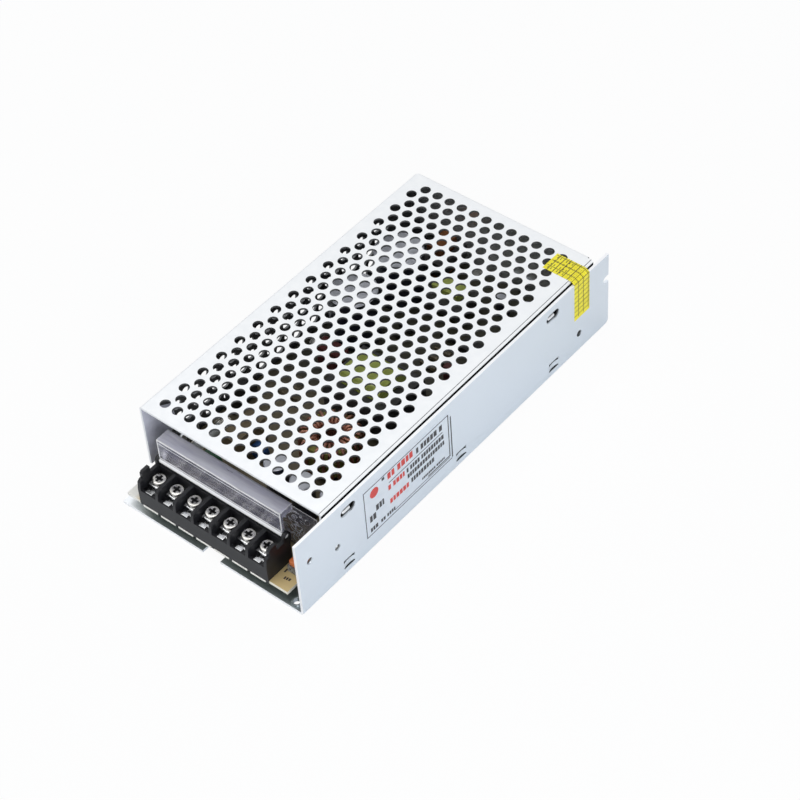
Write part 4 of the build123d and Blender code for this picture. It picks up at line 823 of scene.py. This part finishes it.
dress(["fuse_clips"],
      surface("tinned clip", (0.58, 0.56, 0.50), (0.72, 0.70, 0.64), 0.3, 600, 0.1, metallic=1.0))
dress(["insulating_pads"],
      surface("grey silicone", (0.12, 0.125, 0.13), (0.18, 0.185, 0.19), 0.7, 500, 0.2))
dress(["output_rectifier", "power_transistors", "bridge_rectifier", "controller_chip"],
      surface("moulded epoxy", (0.013, 0.013, 0.014), (0.03, 0.03, 0.032), 0.5, 800, 0.2))
dress(["selector_slider"],
      surface("red slider", (0.50, 0.03, 0.02), (0.62, 0.05, 0.04), 0.4, 400, 0.08))


# Label
# A silvered foil label on the wall, with its frame, rows of print and a round
# spot as plain fields of colour. Lengths along it run from the case's front.
foil = surface("label foil", (0.74, 0.80, 0.87), (0.80, 0.85, 0.91), 0.34, 300, 0.03, metallic=0.8)
ink = surface("black ink", (0.02, 0.02, 0.025), (0.045, 0.045, 0.05), 0.45, 900, 0.05)
red_ink = surface("red ink", (0.52, 0.03, 0.025), (0.64, 0.05, 0.04), 0.42, 900, 0.05)
wall_x, foil_x, ink_low, ink_high, case_front = 48.4, 48.46, 48.455, 48.49, -99.5
label = block((wall_x, -61.0, 8.5), (foil_x, -6.6, 36.5))
bpy.ops.object.mode_set(mode="EDIT")
bpy.ops.mesh.select_all(action="DESELECT")
bpy.ops.object.mode_set(mode="OBJECT")
for edge in label.data.edges:
    ends = [label.data.vertices[k].co.x for k in edge.vertices]
    edge.select = abs(ends[0] - ends[1]) > 0.01 * mm
bpy.ops.object.mode_set(mode="EDIT")
bpy.ops.mesh.select_mode(type="EDGE")
bpy.ops.mesh.bevel(offset=0.8 * mm, segments=4)
bpy.ops.object.mode_set(mode="OBJECT")
finish_mesh(label, "foil_label", foil)
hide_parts("rating_label")
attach(label, "case")
draw = random.Random(7)


def printed_row(low_y, high_y, low_z, high_z, letter):
    """A row of small blocks with gaps, as a line of print looks from afar."""
    marks = []
    y = low_y
    while y < high_y - 0.3 * letter:
        wide = min(letter * draw.uniform(0.75, 1.1), high_y - y)
        marks.append(((y, low_z), (y + wide, high_z)))
        y += wide + letter * (0.9 if draw.random() < 0.12 else 0.28)
    return marks


frame_lines = [((39.0, 34.7), (91.2, 35.1)), ((39.0, 8.8), (92.2, 9.2)),
               ((39.0, 8.8), (39.4, 35.1)), ((90.7, 11.0), (91.2, 35.1)),
               ((92.2, 9.4), (92.8, 33.0)), ((54.0, 28.2), (87.2, 28.6)),
               ((56.0, 10.3), (90.8, 10.6)), ((77.0, 11.1), (90.8, 11.7)),
               ((50.1, 32.8), (51.6, 34.3))]
small_marks = printed_row(41.6, 46.4, 16.0, 19.4, 1.7) + printed_row(45.6, 50.4, 19.6, 22.8, 1.7)
black = (frame_lines + small_marks + printed_row(71, 88, 30.0, 33.0, 1.7)
         + printed_row(64.7, 88.4, 24.5, 26.9, 1.3) + printed_row(65, 88.4, 20.9, 23.2, 1.3)
         + printed_row(67, 81.2, 16.8, 19.2, 1.4) + printed_row(73.4, 88.4, 12.5, 13.7, 0.9)
         + printed_row(47.8, 56.4, 10.6, 12.4, 1.3) + printed_row(41.5, 46.0, 10.4, 12.6, 1.3))
red = (printed_row(53.5, 69.8, 30.6, 34.0, 2.1) + printed_row(53.5, 63.4, 24.3, 27.0, 1.6)
       + printed_row(53.9, 66.2, 16.2, 18.8, 1.6))
for marks, title, colour in ((black, "label_print_black", ink), (red, "label_print_red", red_ink)):
    sheet_of_marks = join([block((ink_low, low[0] + case_front, low[1]),
                                 (ink_high, high[0] + case_front, high[1]))
                           for low, high in marks])
    finish_mesh(sheet_of_marks, title, colour)
    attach(sheet_of_marks, "case")
spot_place = Vector(((ink_low + ink_high) / 2, 45.3 + case_front, 30.6)) * mm
bpy.ops.mesh.primitive_cylinder_add(vertices=40, radius=2.5 * mm, depth=(ink_high - ink_low) * mm,
                                    location=spot_place, rotation=(0, math.radians(90), 0))
spot = bpy.context.object
edge = spot.modifiers.new("edge", "BEVEL")
edge.width = 0.008 * mm
edge.limit_method = "ANGLE"
apply_all(spot)
finish_mesh(spot, "label_spot", red_ink)
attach(spot, "case")


# Seal
# A yellow paper seal over the seam of cover and wall, with a grid of small
# olive cells and a plain margin at its foot.
paper_seal = surface("yellow seal", (0.86, 0.75, 0.02), (0.94, 0.84, 0.04), 0.5, 300, 0.03)
tree = paper_seal.node_tree
shader = tree.nodes["Principled BSDF"]
place = tree.nodes.new("ShaderNodeTexCoord")
parts = tree.nodes.new("ShaderNodeSeparateXYZ")
along = tree.nodes.new("ShaderNodeMath")
along.operation = "SUBTRACT"
flat = tree.nodes.new("ShaderNodeCombineXYZ")
tree.links.new(place.outputs["Object"], parts.inputs["Vector"])
tree.links.new(parts.outputs["X"], along.inputs[0])
tree.links.new(parts.outputs["Z"], along.inputs[1])
tree.links.new(along.outputs[0], flat.inputs["X"])
tree.links.new(parts.outputs["Y"], flat.inputs["Y"])
olive = (0.05, 0.04, 0.006, 1)
grid_lines = (2.6, 3.4, 0.17, False, -9.4, 27.4)
fine_print = (0.95, 1.15, 0.4, True, 1.0, 26.6)
wide_print = (1.5, 2.3, 0.6, True, -9.0, -0.6)
for wide, tall, gap, fill, low, high in (grid_lines, fine_print, wide_print):
    cells = tree.nodes.new("ShaderNodeTexBrick")
    cells.offset = 0.0
    cells.inputs["Scale"].default_value = 1000.0
    cells.inputs["Brick Width"].default_value = wide
    cells.inputs["Row Height"].default_value = tall
    cells.inputs["Mortar Size"].default_value = gap
    cells.inputs["Color1"].default_value = (0, 0, 0, 1)
    cells.inputs["Color2"].default_value = (0, 0, 0, 1)
    cells.inputs["Mortar"].default_value = (1, 1, 1, 1)
    tree.links.new(flat.outputs["Vector"], cells.inputs["Vector"])
    inked = cells.outputs["Fac"]
    if fill:
        turned_over = tree.nodes.new("ShaderNodeMath")
        turned_over.operation = "SUBTRACT"
        turned_over.inputs[0].default_value = 1.0
        tree.links.new(inked, turned_over.inputs[1])
        inked = turned_over.outputs[0]
    for limit, operation in ((low, "GREATER_THAN"), (high, "LESS_THAN")):
        inside = tree.nodes.new("ShaderNodeMath")
        inside.operation = operation
        inside.inputs[1].default_value = limit * mm
        tree.links.new(along.outputs[0], inside.inputs[0])
        both = tree.nodes.new("ShaderNodeMath")
        both.operation = "MULTIPLY"
        tree.links.new(inked, both.inputs[0])
        tree.links.new(inside.outputs[0], both.inputs[1])
        inked = both.outputs[0]
    print_mix = tree.nodes.new("ShaderNodeMix")
    print_mix.data_type = "RGBA"
    print_mix.inputs[7].default_value = olive
    tree.links.new(inked, print_mix.inputs[0])
    tree.links.new(shader.inputs["Base Color"].links[0].from_socket, print_mix.inputs[6])
    tree.links.new(print_mix.outputs[2], shader.inputs["Base Color"])
dress(["seal_sticker"], paper_seal)
